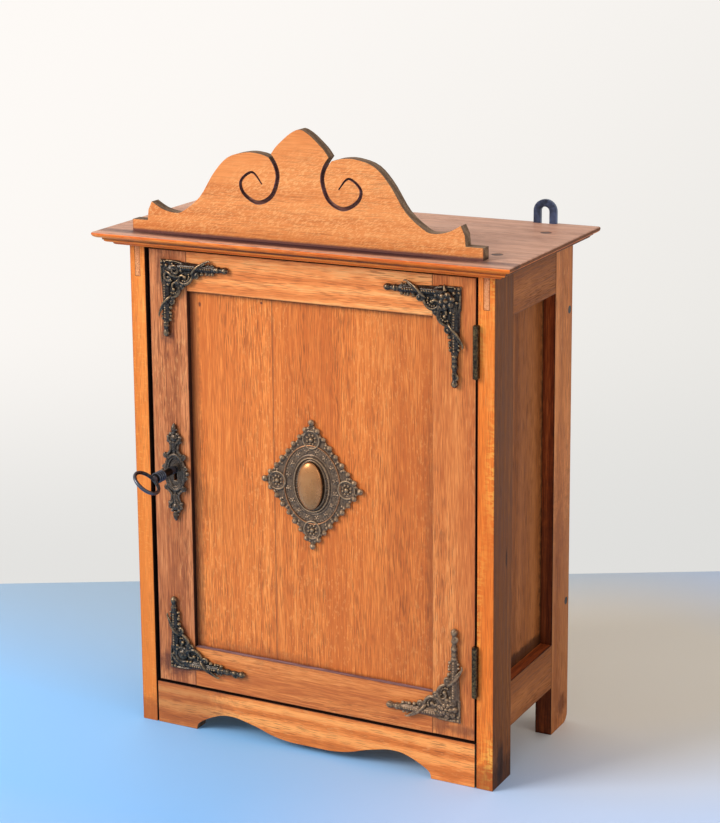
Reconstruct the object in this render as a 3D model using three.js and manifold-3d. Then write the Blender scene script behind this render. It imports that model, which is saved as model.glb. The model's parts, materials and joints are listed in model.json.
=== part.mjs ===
// A small oak medicine cabinet: panelled side frames, one panelled door, a moulded top, a scrolled crest.
// Millimetres, +Z up. X runs along the front, Y runs from the door (low) to the back (high).
import * as THREE from 'three';
import { mergeVertices } from 'three/addons/utils/BufferGeometryUtils.js';
import Module from 'manifold-3d';

const wasm = await Module();
wasm.setup();

// Body
const body_width = 394;
const body_depth = 194;
const body_height = 502.7;
const frame_thickness = 17;
const front_post_depth = 44;
const back_post_depth = 44.5;
const back_foot_round = 10;

// Side frames
const side_bottom_rail_z = 51;
const side_bottom_rail_height = 46;
const side_top_rail_height = 51.5;
const side_panel_thickness = 4.5;
const side_panel_lap = 8;
const tenon_thickness = 5.8;
const tenon_shoulder = 13;
const blind_tenon_length = 30;
const blind_tenon_shoulder = 7;

// Fits between wooden pieces, and the overrun of every cut
const joint_clearance = 0.15;
const overrun = 2;

// Top board and the moulding under it, as reach out from the body and height
const top_thickness = 8.5;
const cornice_height = 7.8;
const front_overhang = 29;
const side_overhang = 26.5;
const back_overhang = 5;
const nose_round = 1.8;
const nose_fillet_reach = 20.8;
const nose_fillet_height = 2;
const upper_bead_reach = 19.6;
const upper_bead_foot_reach = 13;
const upper_bead_lip = 0.7;
const lower_bead_reach = 12.4;
const lower_bead_foot_reach = 1.5;
const lower_bead_lip = 1;
const lower_bead_height = 2.8;
const cornice_foot_height = 0.8;
const mitre_gap = 0.2;

// Crest
const crest_thickness = 12.5;
const crest_height = 110.8;
const crest_half_width = 188;
const crest_stand_forward = 7;
const crest_plinth_height = 12;
const crest_ear_height = 31;
const crest_ear_lean = 5;
const crest_ear_bulge_shares = [0.8, 0.55];
const crest_ear_setback = 17.5;
const crest_seat_depth = 3;
const crest_seat_inset = 4;
const crest_seat_width = 6;
const scroll_cut_width = 4.4;
const scroll_cut_end_width = 1.2;
const scroll_taper = 3;
const crest_shoulder_shares = [
  [0.827, 0.228], [0.78, 0.203], [0.737, 0.195], [0.69, 0.215], [0.588, 0.352], [0.5, 0.578],
  [0.415, 0.722], [0.311, 0.773], [0.235, 0.77], [0.181, 0.745],
];
const crest_lobe_shares = [
  [0.173, 0.752], [0.14, 0.83], [0.104, 0.889], [0.06, 0.952], [0.022, 0.99], [0, 1],
];
const scroll_line_shares = [
  [0.183, 0.785], [0.14, 0.68], [0.128, 0.56], [0.165, 0.406], [0.245, 0.343], [0.324, 0.415],
  [0.34, 0.523], [0.274, 0.605], [0.218, 0.505],
];

// Apron
const apron_height = 45;
const apron_thickness = 17;
const apron_end_gap = 1.8;
const apron_foot_width = 48;
const apron_tongue_thickness = 6;
const apron_tongue_length = 6;
const apron_tongue_shoulder = 8;
const apron_arch_shares = [
  [0.983, 0.155], [0.88, 0.335], [0.78, 0.444], [0.71, 0.47], [0.64, 0.462], [0.57, 0.42],
  [0.455, 0.336], [0.35, 0.235], [0.25, 0.175], [0.152, 0.149],
];

// Inside boards
const top_rail_depth = 40;
const bottom_board_z = 57;
const bottom_board_thickness = 12;
const bottom_tongue_length = 5;
const door_stop_gap = 1;
const back_panel_thickness = 6;
const back_rebate_width = 5;
const shelf_thickness = 10;
const shelf_front_gap = 6;
const lower_shelf_rise = 127;
const upper_shelf_drop = 170;
const cleat_size = 12;
const cleat_front_inset = 30;
const cleat_back_inset = 12;
const stop_width = 10;
const stop_depth = 4.5;

// Door
const door_left_gap = 5.2;
const door_right_gap = 2;
const door_bottom_gap = 3;
const door_top_gap = 1.5;
const door_thickness = 18;
const left_stile_width = 42.7;
const right_stile_width = 44;
const door_top_rail_height = 39.6;
const door_bottom_rail_height = 42;
const door_panel_recess = 6;
const door_panel_thickness = 6;
const door_groove_depth = 6;
const door_tenon_length = 25;
const door_tenon_shoulder = 6;

// Hinges
const hinge_height = 50;
const lower_hinge_rise = 46;
const upper_hinge_drop = 44.2;
const knuckle_radius = 2.75;
const hinge_pin_radius = 1.4;
const pin_running_clearance = 0.08;
const leaf_thickness = 1.5;
const leaf_depth = 16;
const knuckle_count = 5;
const knuckle_gap = 0.4;
const knuckle_stand_off = 0.2;
const pin_head_radius = 2.1;
const pin_head_height = 0.6;

// Lock, key and strike
const key_from_stile_edge = 25.4;
const key_above_door_middle = 2.7;
const keyhole_drop = 12.5;
const keyhole_slot_width = 3.4;
const key_shaft_radius = 3.25;
const key_hole_clearance = 0.4;
const key_reach = 41.5;
const key_bow_wire_radius = 1.6;
const key_bow_width = 32;
const key_bow_length = 29;
const key_bit_length = 9;
const key_bit_thickness = 2.4;
const key_bit_depth = 4;
const key_collar_radius = 4.6;
const key_collar_width = 2.2;
const key_rest_turn_deg = 38;
const lock_width = 35;
const lock_height = 58;
const lock_depth = 11;
const lock_wall = 1.5;
const bolt_height = 12;
const bolt_thickness = 3;
const bolt_length = 32;
const bolt_running_gap = 0.4;
const strike_thickness = 1.2;
const strike_height = 40;
const strike_width = 12;
const strike_hole_depth = 9;
const strike_hole_margin = 1;

// Escutcheon
const escutcheon_height = 103.5;
const escutcheon_thickness = 2.4;
const escutcheon_drop = 3.5;
const escutcheon_oval_width = 27;
const escutcheon_oval_height = 42;
const escutcheon_neck_width = 10.5;
const escutcheon_palmette_width = 18.6;
const escutcheon_palmette_height = 12;
const escutcheon_tip_width = 7.6;
const escutcheon_tip_height = 11;
const escutcheon_knob_radius = 3;
const escutcheon_knob_rise = 4;
const escutcheon_side_reach = 15;
const escutcheon_palmette_share = 0.34;
const escutcheon_shoulder_shares = [0.092, 0.155];
const keyhole_rim_width = 2.4;

// Medallion
const medallion_width = 109;
const medallion_height = 129;
const medallion_above_door_middle = 5.4;
const medallion_plate = 2.4;
const medallion_bead_radius = 3.4;
const medallion_beads_per_edge = 8;
const medallion_rim_width = 62;
const medallion_rim_height = 79;
const medallion_rim_radius = 1.6;
const medallion_rosette_radius = 9.5;
const medallion_rosette_height = 2.6;
const medallion_rosette_shares = [[0.68, 0], [-0.68, 0], [0, 0.69], [0, -0.69]];
const boss_width = 33;
const boss_height = 48;
const boss_rise = 5;
const boss_seat = 0.3;

// Corner mounts
const mount_plate = 2.2;
const mount_rib_rise = 4.6;
const mount_relief = 5.6;
const mount_corner_inset = 13.8;
const mount_top_inset = 9;
const mount_bottom_inset = 15.8;
const mount_corner_size = 23;
const mount_arm_width = 9;
const mount_arm_setback = 2;
const mount_arm_lean = 1;
const mount_tip_width = 6;
const mount_rib_width = 5;
const mount_finial_radius = 3.6;
const mount_rosette_radius = 7.5;
const mount_top_left_arms = { across: 79, along: 79 };
const mount_top_right_arms = { across: 79.5, along: 97 };
const mount_bottom_right_arms = { across: 79, along: 96 };
const mount_bottom_left_arms = { across: 89, along: 78 };
const mount_knob_shares = [0.5, 0.62, 0.71];
const mount_knob_radii = [3.2, 2.4, 2];
const mount_leaf_shares = [0.52, 0.66, 0.6];
const mount_leaf_reach = 3.4;
const mount_wrap_share = 0.44;
const mount_wrap_width = 2.4;
const mount_lobe_shares = [[1.2, 0.68], [0.68, 1.2], [1.1, 1.1]];
const mount_lobe_radii = [7.5, 7.2, 4.6];

// Hanging plates
const hanger_width = 24;
const hanger_thickness = 4;
const hanger_eye_width = 9.5;
const hanger_rise = 24;
const hanger_length = 80;
const hanger_from_side = 30;
const hanger_eye_height = 26;
const hanger_notch_clearance = 0.4;
const hanger_hole_radius = 2.2;
const hanger_hole_shares = [0.15, 0.45];

// Plugs and screws
const plug_radius = 5.6;
const plug_depth = 4;
const plug_from_side = 10;
const plug_front_y = 28;
const plug_back_y = 148;
const screw_head_radius = 4;
const screw_head_depth = 2.6;
const screw_shank_radius = 1.8;
const screw_length = 11;
const screw_from_back = 7;
const lower_screw_z = 132;
const upper_screw_drop = 67;
const drilled_clearance = 0.1;

// Fineness of round work
const round_steps = 8;
const round_sides = 16;
const small_sides = 8;
const crest_steps = 36;
const crest_lobe_steps = 18;
const scroll_steps = 84;
const arch_steps = 36;
const corners_per_face = 3;
const values_per_corner = 3;

// Sizes that follow from the ones above
const half_body = body_width / 2;
const inner_half = half_body - frame_thickness;
const hanger_from_middle = half_body - hanger_from_side;
const plug_from_middle = half_body - plug_from_side;
const panel_side_x = inner_half + side_panel_thickness;
const back_post_y = body_depth - back_post_depth;
const top_under_z = body_height + cornice_height;
const top_z = top_under_z + top_thickness;
const top_back_y = body_depth + back_overhang;
const back_panel_y = body_depth - back_panel_thickness;
const side_top_rail_z = top_under_z - side_top_rail_height;
const side_bottom_rail_top = side_bottom_rail_z + side_bottom_rail_height;
const tenon_middle_x = half_body - frame_thickness / 2;
const door_left = -inner_half + door_left_gap;
const door_right = inner_half - door_right_gap;
const door_bottom = apron_height + door_bottom_gap;
const door_top = body_height - door_top_gap;
const door_middle_z = (door_bottom + door_top) / 2;
const lower_hinge_z = door_bottom + lower_hinge_rise;
const upper_hinge_z = door_top - upper_hinge_drop - hinge_height;
const key_axis_z = door_middle_z + key_above_door_middle;
const medallion_z = door_middle_z + medallion_above_door_middle;
const lower_shelf_z = bottom_board_z + bottom_board_thickness + lower_shelf_rise;
const upper_shelf_z = body_height - upper_shelf_drop;
const screw_heights = [lower_screw_z, body_height - upper_screw_drop];
const left_stile_inner = door_left + left_stile_width;
const right_stile_inner = door_right - right_stile_width;
const door_middle = (door_left + door_right) / 2;
const door_panel_bottom = door_bottom + door_bottom_rail_height;
const door_panel_top = door_top - door_top_rail_height;
const board_front_y = door_thickness + door_stop_gap;
const pin_x = (door_right + inner_half) / 2;
const pin_y = -knuckle_radius - knuckle_stand_off;
const key_x = door_left + key_from_stile_edge;
const lock_front_y = door_thickness - lock_depth;
const bolt_y = door_thickness - lock_wall - bolt_running_gap - bolt_thickness;
const bolt_z = key_axis_z - bolt_height;

const finishes = {
  front_oak: { color: 0xd9884c, roughness: 0.45, metalness: 0 },
  side_oak: { color: 0x93603f, roughness: 0.5, metalness: 0 },
  top_oak: { color: 0xae8168, roughness: 0.4, metalness: 0 },
  inner_oak: { color: 0xa9794c, roughness: 0.65, metalness: 0 },
  plug: { color: 0x3a2419, roughness: 0.6, metalness: 0 },
  bronze: { color: 0x4a4238, roughness: 0.38, metalness: 0.85 },
  boss_bronze: { color: 0x7a5b35, roughness: 0.3, metalness: 0.9 },
  iron: { color: 0x2c2a2b, roughness: 0.5, metalness: 0.8 },
  brass: { color: 0x6b5434, roughness: 0.4, metalness: 0.9 },
  steel: { color: 0x77726a, roughness: 0.45, metalness: 0.9 },
};

// A closed surface with shared corners, ready to be joined or cut.
function solid(shape) {
  if (!shape.isBufferGeometry) return shape;
  const bare = shape.clone();
  bare.deleteAttribute('normal');
  bare.deleteAttribute('uv');
  const merged = mergeVertices(bare);
  const corners = merged.index.array;
  const kept = [];
  for (let i = 0; i < corners.length; i += corners_per_face) {
    const [a, b, c] = corners.slice(i, i + corners_per_face);
    if (a !== b && b !== c && c !== a) kept.push(a, b, c);
  }
  const mesh = new wasm.Mesh({
    numProp: values_per_corner,
    vertProperties: new Float32Array(merged.attributes.position.array),
    triVerts: new Uint32Array(kept),
  });
  return new wasm.Manifold(mesh);
}

function join(...shapes) {
  return shapes.map(solid).reduce((whole, next) => whole.add(next));
}

function cut(body, ...tools) {
  return tools.map(solid).reduce((rest, tool) => rest.subtract(tool), solid(body));
}

function common(...shapes) {
  return shapes.map(solid).reduce((rest, next) => rest.intersect(next));
}

function geometryOf(shape) {
  if (shape.isBufferGeometry) return shape;
  const mesh = shape.getMesh();
  const geometry = new THREE.BufferGeometry();
  geometry.setAttribute('position', new THREE.BufferAttribute(mesh.vertProperties, values_per_corner));
  geometry.setIndex(new THREE.BufferAttribute(mesh.triVerts, 1));
  geometry.computeVertexNormals();
  return geometry;
}

function piece(name, shape, finish) {
  const mesh = new THREE.Mesh(geometryOf(shape), new THREE.MeshStandardMaterial(finishes[finish]));
  mesh.name = name;
  return mesh;
}

function groupOf(...members) {
  const group = new THREE.Group();
  group.add(...members);
  return group;
}

// A block between two corners, whichever way round each pair is given.
function block(x0, x1, y0, y1, z0, z1) {
  const size = [Math.abs(x1 - x0), Math.abs(y1 - y0), Math.abs(z1 - z0)];
  const geometry = new THREE.BoxGeometry(...size);
  return geometry.translate((x0 + x1) / 2, (y0 + y1) / 2, (z0 + z1) / 2);
}

function outline(points) {
  return new THREE.Shape(points.map(([a, b]) => new THREE.Vector2(a, b)));
}

function slabOf(shape, depth) {
  return new THREE.ExtrudeGeometry(shape, { depth, bevelEnabled: false, curveSegments: round_steps });
}

// An outline drawn in X and Z, given a thickness along Y.
function frontSlab(shape, y0, y1) {
  return slabOf(shape, y1 - y0).rotateX(Math.PI / 2).translate(0, y1, 0);
}

// An outline drawn in Y and Z, given a thickness along X.
function sideSlab(shape, x0, x1) {
  const [low, high] = [Math.min(x0, x1), Math.max(x0, x1)];
  const turn = new THREE.Matrix4().makeBasis(
    new THREE.Vector3(0, 1, 0), new THREE.Vector3(0, 0, 1), new THREE.Vector3(1, 0, 0));
  return slabOf(shape, high - low).applyMatrix4(turn).translate(low, 0, 0);
}

// An outline drawn in X and Y, given a height along Z.
function floorSlab(shape, z0, z1) {
  return slabOf(shape, z1 - z0).translate(0, 0, z0);
}

function pinAlongX(radius, x0, x1, y, z, sides = round_sides) {
  const rod = new THREE.CylinderGeometry(radius, radius, Math.abs(x1 - x0), sides);
  return rod.rotateZ(Math.PI / 2).translate((x0 + x1) / 2, y, z);
}

function pinAlongY(radius, x, y0, y1, z, sides = round_sides) {
  const rod = new THREE.CylinderGeometry(radius, radius, y1 - y0, sides);
  return rod.translate(x, (y0 + y1) / 2, z);
}

function pinAlongZ(radius, x, y, z0, z1, sides = round_sides) {
  const rod = new THREE.CylinderGeometry(radius, radius, z1 - z0, sides);
  return rod.rotateX(Math.PI / 2).translate(x, y, (z0 + z1) / 2);
}

// A smooth line through a few chosen points.
function smooth(points, steps) {
  const curve = new THREE.SplineCurve(points.map(([a, b]) => new THREE.Vector2(a, b)));
  return curve.getPoints(steps).map((point) => [point.x, point.y]);
}

function mirrored(points) {
  return points.map(([x, z]) => [-x, z]).reverse();
}

// Side frames: two posts and two rails round a thin panel, which lies in rebates on the inside.
function tenonCut(side, y0, y1, z0, z1) {
  const half = tenon_thickness / 2 + joint_clearance;
  return block(side * (tenon_middle_x - half), side * (tenon_middle_x + half), y0, y1, z0, z1);
}

function panelRebate(side) {
  const y0 = front_post_depth - side_panel_lap;
  const y1 = back_post_y + side_panel_lap;
  const z0 = side_bottom_rail_top - side_panel_lap;
  const z1 = side_top_rail_z + side_panel_lap;
  return block(side * (inner_half - overrun), side * panel_side_x, y0, y1, z0, z1);
}

function topTenonSlot(side, y0, y1) {
  const z0 = side_top_rail_z + tenon_shoulder - joint_clearance;
  return tenonCut(side, y0, y1, z0, top_under_z + overrun);
}

function bottomTenonSlot(side, y0, y1) {
  const z0 = side_bottom_rail_z + blind_tenon_shoulder - joint_clearance;
  const z1 = side_bottom_rail_top - side_panel_lap - joint_clearance;
  return tenonCut(side, y0, y1, z0, z1);
}

function apronSlot(side) {
  const middle = apron_thickness / 2;
  const half = apron_tongue_thickness / 2 + joint_clearance;
  const depth = apron_tongue_length + joint_clearance;
  const z0 = apron_tongue_shoulder - joint_clearance;
  const z1 = apron_height - apron_tongue_shoulder + joint_clearance;
  return block(side * (inner_half - overrun), side * (inner_half + depth), middle - half, middle + half,
    z0, z1);
}

function frontPost(side) {
  const post = block(side * inner_half, side * half_body, 0, front_post_depth, 0, top_under_z);
  const blind_y = front_post_depth - blind_tenon_length - joint_clearance;
  const cuts = [
    topTenonSlot(side, -overrun, front_post_depth + overrun),
    bottomTenonSlot(side, blind_y, front_post_depth + overrun),
    panelRebate(side),
    apronSlot(side),
  ];
  if (side > 0) cuts.push(...[lower_hinge_z, upper_hinge_z].map(postLeafSeat));
  if (side < 0) cuts.push(strikeSeat(), strikeHole());
  return cut(post, ...cuts);
}

function backPostOutline() {
  const shape = new THREE.Shape();
  shape.moveTo(back_post_y, 0);
  shape.lineTo(body_depth - back_foot_round, 0);
  shape.absarc(body_depth - back_foot_round, back_foot_round, back_foot_round, -Math.PI / 2, 0, false);
  shape.lineTo(body_depth, top_under_z);
  shape.lineTo(back_post_y, top_under_z);
  return shape;
}

function backPost(side) {
  const post = sideSlab(backPostOutline(), side * inner_half, side * half_body);
  const blind_y = back_post_y + blind_tenon_length + joint_clearance;
  const rebate = block(side * (inner_half - overrun), side * (inner_half + back_rebate_width),
    back_panel_y, body_depth + overrun, bottom_board_z, top_under_z + overrun);
  return cut(post, topTenonSlot(side, back_post_y - overrun, body_depth + overrun),
    bottomTenonSlot(side, back_post_y - overrun, blind_y), panelRebate(side), rebate,
    ...screw_heights.map((z) => screwHole(side, z)));
}

function railTenon(side, y0, y1, z0, z1) {
  const half = tenon_thickness / 2;
  return block(side * (tenon_middle_x - half), side * (tenon_middle_x + half), y0, y1, z0, z1);
}

function topSideRail(side) {
  const board = block(side * inner_half, side * half_body, front_post_depth + joint_clearance,
    back_post_y - joint_clearance, side_top_rail_z, top_under_z);
  const tenon = railTenon(side, 0, body_depth, side_top_rail_z + tenon_shoulder, top_under_z);
  return cut(join(board, tenon), panelRebate(side));
}

function bottomSideRail(side) {
  const board = block(side * inner_half, side * half_body, front_post_depth + joint_clearance,
    back_post_y - joint_clearance, side_bottom_rail_z, side_bottom_rail_top);
  const tenon = railTenon(side, front_post_depth - blind_tenon_length, back_post_y + blind_tenon_length,
    side_bottom_rail_z + blind_tenon_shoulder, side_bottom_rail_top - side_panel_lap - 2 * joint_clearance);
  const groove = block(side * (inner_half - overrun), side * (inner_half + bottom_tongue_length),
    front_post_depth - overrun, back_post_y + overrun,
    bottom_board_z - joint_clearance, bottom_board_z + bottom_board_thickness + joint_clearance);
  const clear_of_tenon = block(side * (inner_half - overrun), side * (tenon_middle_x - tenon_thickness / 2),
    front_post_depth - blind_tenon_length, back_post_y + blind_tenon_length,
    bottom_board_z - joint_clearance, bottom_board_z + bottom_board_thickness + joint_clearance);
  return cut(join(board, tenon), panelRebate(side), common(groove, clear_of_tenon));
}

function sidePanel(side) {
  const gap = joint_clearance;
  return block(side * inner_half, side * (panel_side_x - gap),
    front_post_depth - side_panel_lap + gap, back_post_y + side_panel_lap - gap,
    side_bottom_rail_top - side_panel_lap + gap, side_top_rail_z + side_panel_lap - gap);
}

function screwProfile(extra) {
  const points = [
    [0, 0], [screw_shank_radius + extra, 0], [screw_shank_radius + extra, screw_length - screw_head_depth],
    [screw_head_radius + extra, screw_length], [0, screw_length],
  ];
  return points.map(([r, h]) => new THREE.Vector2(r, h));
}

function screwAt(side, z, extra) {
  const screw = new THREE.LatheGeometry(screwProfile(extra), round_sides);
  screw.rotateZ(-side * Math.PI / 2);
  const inner_end = side * (half_body - screw_length - extra);
  return screw.translate(inner_end, body_depth - screw_from_back, z);
}

function screwHole(side, z) {
  const mouth = pinAlongX(screw_head_radius + drilled_clearance, side * (half_body - drilled_clearance * 2),
    side * (half_body + overrun), body_depth - screw_from_back, z);
  const cutter = screwAt(side, z, drilled_clearance);
  return join(cutter, mouth);
}

// Top board and cornice: one edge profile, run along the front and both sides.
function topEdge() {
  const path = new THREE.Path();
  const fillet_top = top_under_z + nose_fillet_height;
  const nose_z = top_z - nose_round;
  path.moveTo(nose_fillet_reach, top_under_z);
  path.lineTo(nose_fillet_reach, fillet_top);
  path.absellipse(nose_fillet_reach, nose_z, front_overhang - nose_fillet_reach, nose_z - fillet_top,
    -Math.PI / 2, 0, false);
  path.absarc(front_overhang - nose_round, nose_z, nose_round, 0, Math.PI / 2, false);
  return path.getPoints(round_steps).map((point) => [point.x, point.y]);
}

function corniceEdge() {
  const path = new THREE.Path();
  const lower_foot = body_height + cornice_foot_height;
  const lower_top = lower_foot + lower_bead_height;
  const upper_foot = lower_top + lower_bead_lip;
  const upper_top = top_under_z - upper_bead_lip;
  path.moveTo(lower_bead_foot_reach, body_height);
  path.lineTo(lower_bead_foot_reach, lower_foot);
  path.absellipse(lower_bead_foot_reach, lower_top, lower_bead_reach - lower_bead_foot_reach,
    lower_bead_height, -Math.PI / 2, 0, false);
  path.lineTo(lower_bead_reach, upper_foot);
  path.lineTo(upper_bead_foot_reach, upper_foot);
  path.absellipse(upper_bead_foot_reach, upper_top, upper_bead_reach - upper_bead_foot_reach,
    upper_top - upper_foot, -Math.PI / 2, 0, false);
  path.lineTo(upper_bead_reach, top_under_z);
  return path.getPoints(round_steps).map((point) => [point.x, point.y]);
}

// The block that an edge profile makes when it runs round the front and the two sides.
function mouldedBlock(edge, back_y) {
  const side_share = side_overhang / front_overhang;
  const last = edge[edge.length - 1];
  const front_points = [[back_y, edge[0][1]], ...edge.map(([reach, z]) => [-reach, z]), [back_y, last[1]]];
  const right = edge.map(([reach, z]) => [half_body + reach * side_share, z]);
  const wide = half_body + side_overhang + overrun;
  const along_front = sideSlab(outline(front_points), -wide, wide);
  const along_sides = frontSlab(outline([...right, ...mirrored(right)]), -front_overhang - overrun,
    back_y + overrun);
  return common(along_front, along_sides);
}

function plugPlaces() {
  const rows = { front: plug_front_y, back: plug_back_y };
  return Object.entries(rows).flatMap(([row, y]) => [
    { name: `top_plug_${row}_left`, x: -plug_from_middle, y },
    { name: `top_plug_${row}_right`, x: plug_from_middle, y },
  ]);
}

function hangerNotch(side) {
  const half = hanger_width / 2 + hanger_notch_clearance;
  const middle = side * hanger_from_middle;
  return block(middle - half, middle + half, body_depth - hanger_notch_clearance, top_back_y + overrun,
    top_under_z - overrun, top_z + overrun);
}

function crestSeat(gap) {
  const half = crest_half_width - crest_seat_inset + gap;
  const middle = crest_thickness / 2 - crest_stand_forward;
  const half_seat = crest_seat_width / 2 + gap;
  return block(-half, half, middle - half_seat, middle + half_seat, top_z - crest_seat_depth - gap,
    top_z + overrun);
}

function topBoard() {
  const board = mouldedBlock(topEdge(), top_back_y);
  const holes = plugPlaces().map(({ x, y }) => pinAlongZ(plug_radius + drilled_clearance, x, y,
    top_z - plug_depth - drilled_clearance, top_z + overrun));
  return cut(board, ...holes, hangerNotch(-1), hangerNotch(1), crestSeat(joint_clearance));
}

// Each run of the cornice is the moulded block, less the body behind it and what lies past its mitres.
function corniceRun(region) {
  const run = mouldedBlock(corniceEdge(), body_depth);
  const behind = block(-half_body, half_body, 0, body_depth + overrun, body_height - overrun,
    top_under_z + overrun);
  const keep = floorSlab(outline(region), body_height - overrun, top_under_z + overrun);
  return cut(common(run, keep), behind);
}

function corniceFront() {
  const out = front_overhang + overrun;
  const along = half_body + out * side_overhang / front_overhang;
  return corniceRun([[-half_body, 0], [-along, -out], [along, -out], [half_body, 0]]);
}

function corniceSide(side) {
  const out = front_overhang + overrun;
  const along = half_body + out * side_overhang / front_overhang;
  return corniceRun([
    [side * half_body, mitre_gap], [side * along, mitre_gap - out],
    [side * along, body_depth], [side * half_body, body_depth],
  ]);
}

// Crest: a sawn board with two scrolls, standing in a shallow groove in the top.
function crestPoint([x, z]) {
  return [x * crest_half_width, z * crest_height];
}

function crestHalf() {
  const ear_x = crest_half_width - crest_ear_setback;
  const [lean_share, rise_share] = crest_ear_bulge_shares;
  const bulge_x = ear_x - crest_ear_lean * (1 - lean_share);
  const bulge_z = crest_plinth_height + (crest_ear_height - crest_plinth_height) * rise_share;
  const ear_top = [ear_x - crest_ear_lean, crest_ear_height];
  const shoulder = smooth([ear_top, ...crest_shoulder_shares.map(crestPoint)], crest_steps);
  const lobe = smooth(crest_lobe_shares.map(crestPoint), crest_lobe_steps);
  return [
    [crest_half_width, 0], [crest_half_width, crest_plinth_height], [ear_x, crest_plinth_height],
    [bulge_x, bulge_z], ...shoulder, ...lobe.slice(0, -1),
  ];
}

// The sawn line of one scroll, wide where it enters and fine at its heart.
function scrollCut(side) {
  const line = smooth(scroll_line_shares.map(crestPoint), scroll_steps);
  const left = [];
  const right = [];
  line.forEach(([x, z], i) => {
    const [ax, az] = line[Math.max(i - 1, 0)];
    const [bx, bz] = line[Math.min(i + 1, line.length - 1)];
    const length = Math.hypot(bx - ax, bz - az);
    const t = i / (line.length - 1);
    const width = scroll_cut_width + (scroll_cut_end_width - scroll_cut_width) * t ** scroll_taper;
    const half = width / 2;
    const [nx, nz] = [(az - bz) / length * half, (bx - ax) / length * half];
    left.push([side * (x + nx), z + nz]);
    right.push([side * (x - nx), z - nz]);
  });
  const shape = outline([...left, ...right.reverse()]);
  return frontSlab(shape, -crest_thickness - overrun, crest_thickness + overrun);
}

function crestBoard() {
  const right = crestHalf();
  const board = frontSlab(outline([...right, [0, crest_height], ...mirrored(right)]), 0, crest_thickness);
  const sawn = cut(board, scrollCut(1), scrollCut(-1)).translate([0, -crest_stand_forward, top_z]);
  const foot = common(crestSeat(0), block(-half_body, half_body, -front_overhang, body_depth,
    top_z - crest_seat_depth, top_z + crest_seat_inset));
  return join(sawn, foot);
}

// Apron: a shaped board between the front feet.
function apron() {
  const end_x = inner_half - apron_end_gap;
  const arch_half = inner_half - apron_foot_width;
  const arch_points = apron_arch_shares.map(([x, z]) => [x * arch_half, z * apron_height]);
  const arch = smooth([[arch_half, 0], ...arch_points], arch_steps);
  const right = [[end_x, apron_height], [end_x, 0], ...arch];
  const board = frontSlab(outline([...right, ...mirrored(right)]), 0, apron_thickness);
  const middle = apron_thickness / 2;
  const half = apron_tongue_thickness / 2;
  const reach = inner_half + apron_tongue_length;
  const z1 = apron_height - apron_tongue_shoulder;
  const tongue = (side) => block(side * (end_x - overrun), side * reach, middle - half, middle + half,
    apron_tongue_shoulder, z1);
  return join(board, tongue(-1), tongue(1));
}

// Inside boards
function topFrontRail() {
  const half = inner_half - joint_clearance;
  return block(-half, half, 0, top_rail_depth, body_height, top_under_z);
}

function bottomBoard() {
  const half = inner_half - joint_clearance;
  const z1 = bottom_board_z + bottom_board_thickness;
  const reach = inner_half + bottom_tongue_length - joint_clearance;
  const board = block(-half, half, board_front_y, back_panel_y - joint_clearance, bottom_board_z, z1);
  const tongues = block(-reach, reach, front_post_depth + 2 * joint_clearance,
    back_post_y - 2 * joint_clearance, bottom_board_z, z1);
  return join(board, tongues);
}

function backPanel() {
  const half = inner_half + back_rebate_width - joint_clearance;
  return block(-half, half, back_panel_y, body_depth, bottom_board_z + joint_clearance, top_under_z);
}

function shelf(z) {
  const half = inner_half - joint_clearance;
  return block(-half, half, door_thickness + shelf_front_gap, back_panel_y - joint_clearance,
    z, z + shelf_thickness);
}

function cleat(side, shelf_z) {
  return block(side * inner_half, side * (inner_half - cleat_size), cleat_front_inset,
    back_panel_y - cleat_back_inset, shelf_z - cleat_size, shelf_z);
}

// The stop strip runs up the left post behind the lock, just in front of the upper shelf's edge.
function doorStop() {
  return block(-inner_half, -inner_half + stop_width, board_front_y, board_front_y + stop_depth,
    lower_shelf_z + shelf_thickness, body_height);
}

// Door frame
function doorPanelSlot(extra) {
  const y0 = door_panel_recess - extra;
  return block(left_stile_inner - door_groove_depth - extra, right_stile_inner + door_groove_depth + extra,
    y0, y0 + door_panel_thickness + 2 * extra,
    door_panel_bottom - door_groove_depth - extra, door_panel_top + door_groove_depth + extra);
}

function stileGroove() {
  const gap = joint_clearance;
  return block(left_stile_inner - door_groove_depth - gap, right_stile_inner + door_groove_depth + gap,
    door_panel_recess - gap, door_panel_recess + door_panel_thickness + gap,
    door_panel_bottom - door_groove_depth - overrun, door_panel_top + door_groove_depth + overrun);
}

function railTongue(z0, z1, extra) {
  const y0 = door_panel_recess - extra;
  const reach = door_tenon_length + extra;
  return block(left_stile_inner - reach, right_stile_inner + reach,
    y0, y0 + door_panel_thickness + 2 * extra, z0 - extra, z1 + extra);
}

function topRailTongue(extra) {
  return railTongue(door_panel_top + door_groove_depth + 2 * joint_clearance,
    door_top - door_tenon_shoulder, extra);
}

function bottomRailTongue(extra) {
  return railTongue(door_bottom + door_tenon_shoulder,
    door_panel_bottom - door_groove_depth - 2 * joint_clearance, extra);
}

function stile(x0, x1, ...cuts) {
  const board = block(x0, x1, 0, door_thickness, door_bottom, door_top);
  const slots = [topRailTongue, bottomRailTongue].map((slot) => slot(joint_clearance));
  return cut(board, stileGroove(), ...slots, ...cuts);
}

function doorRail(z0, z1, tongue) {
  const board = block(left_stile_inner + joint_clearance, right_stile_inner - joint_clearance,
    0, door_thickness, z0, z1);
  return join(cut(board, doorPanelSlot(joint_clearance)), tongue(0));
}

// Butt hinges: one leaf let into the post, one into the door, on a common pin.
function leafX(on_post) {
  return on_post ? [inner_half, inner_half + leaf_thickness] : [door_right - leaf_thickness, door_right];
}

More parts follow.
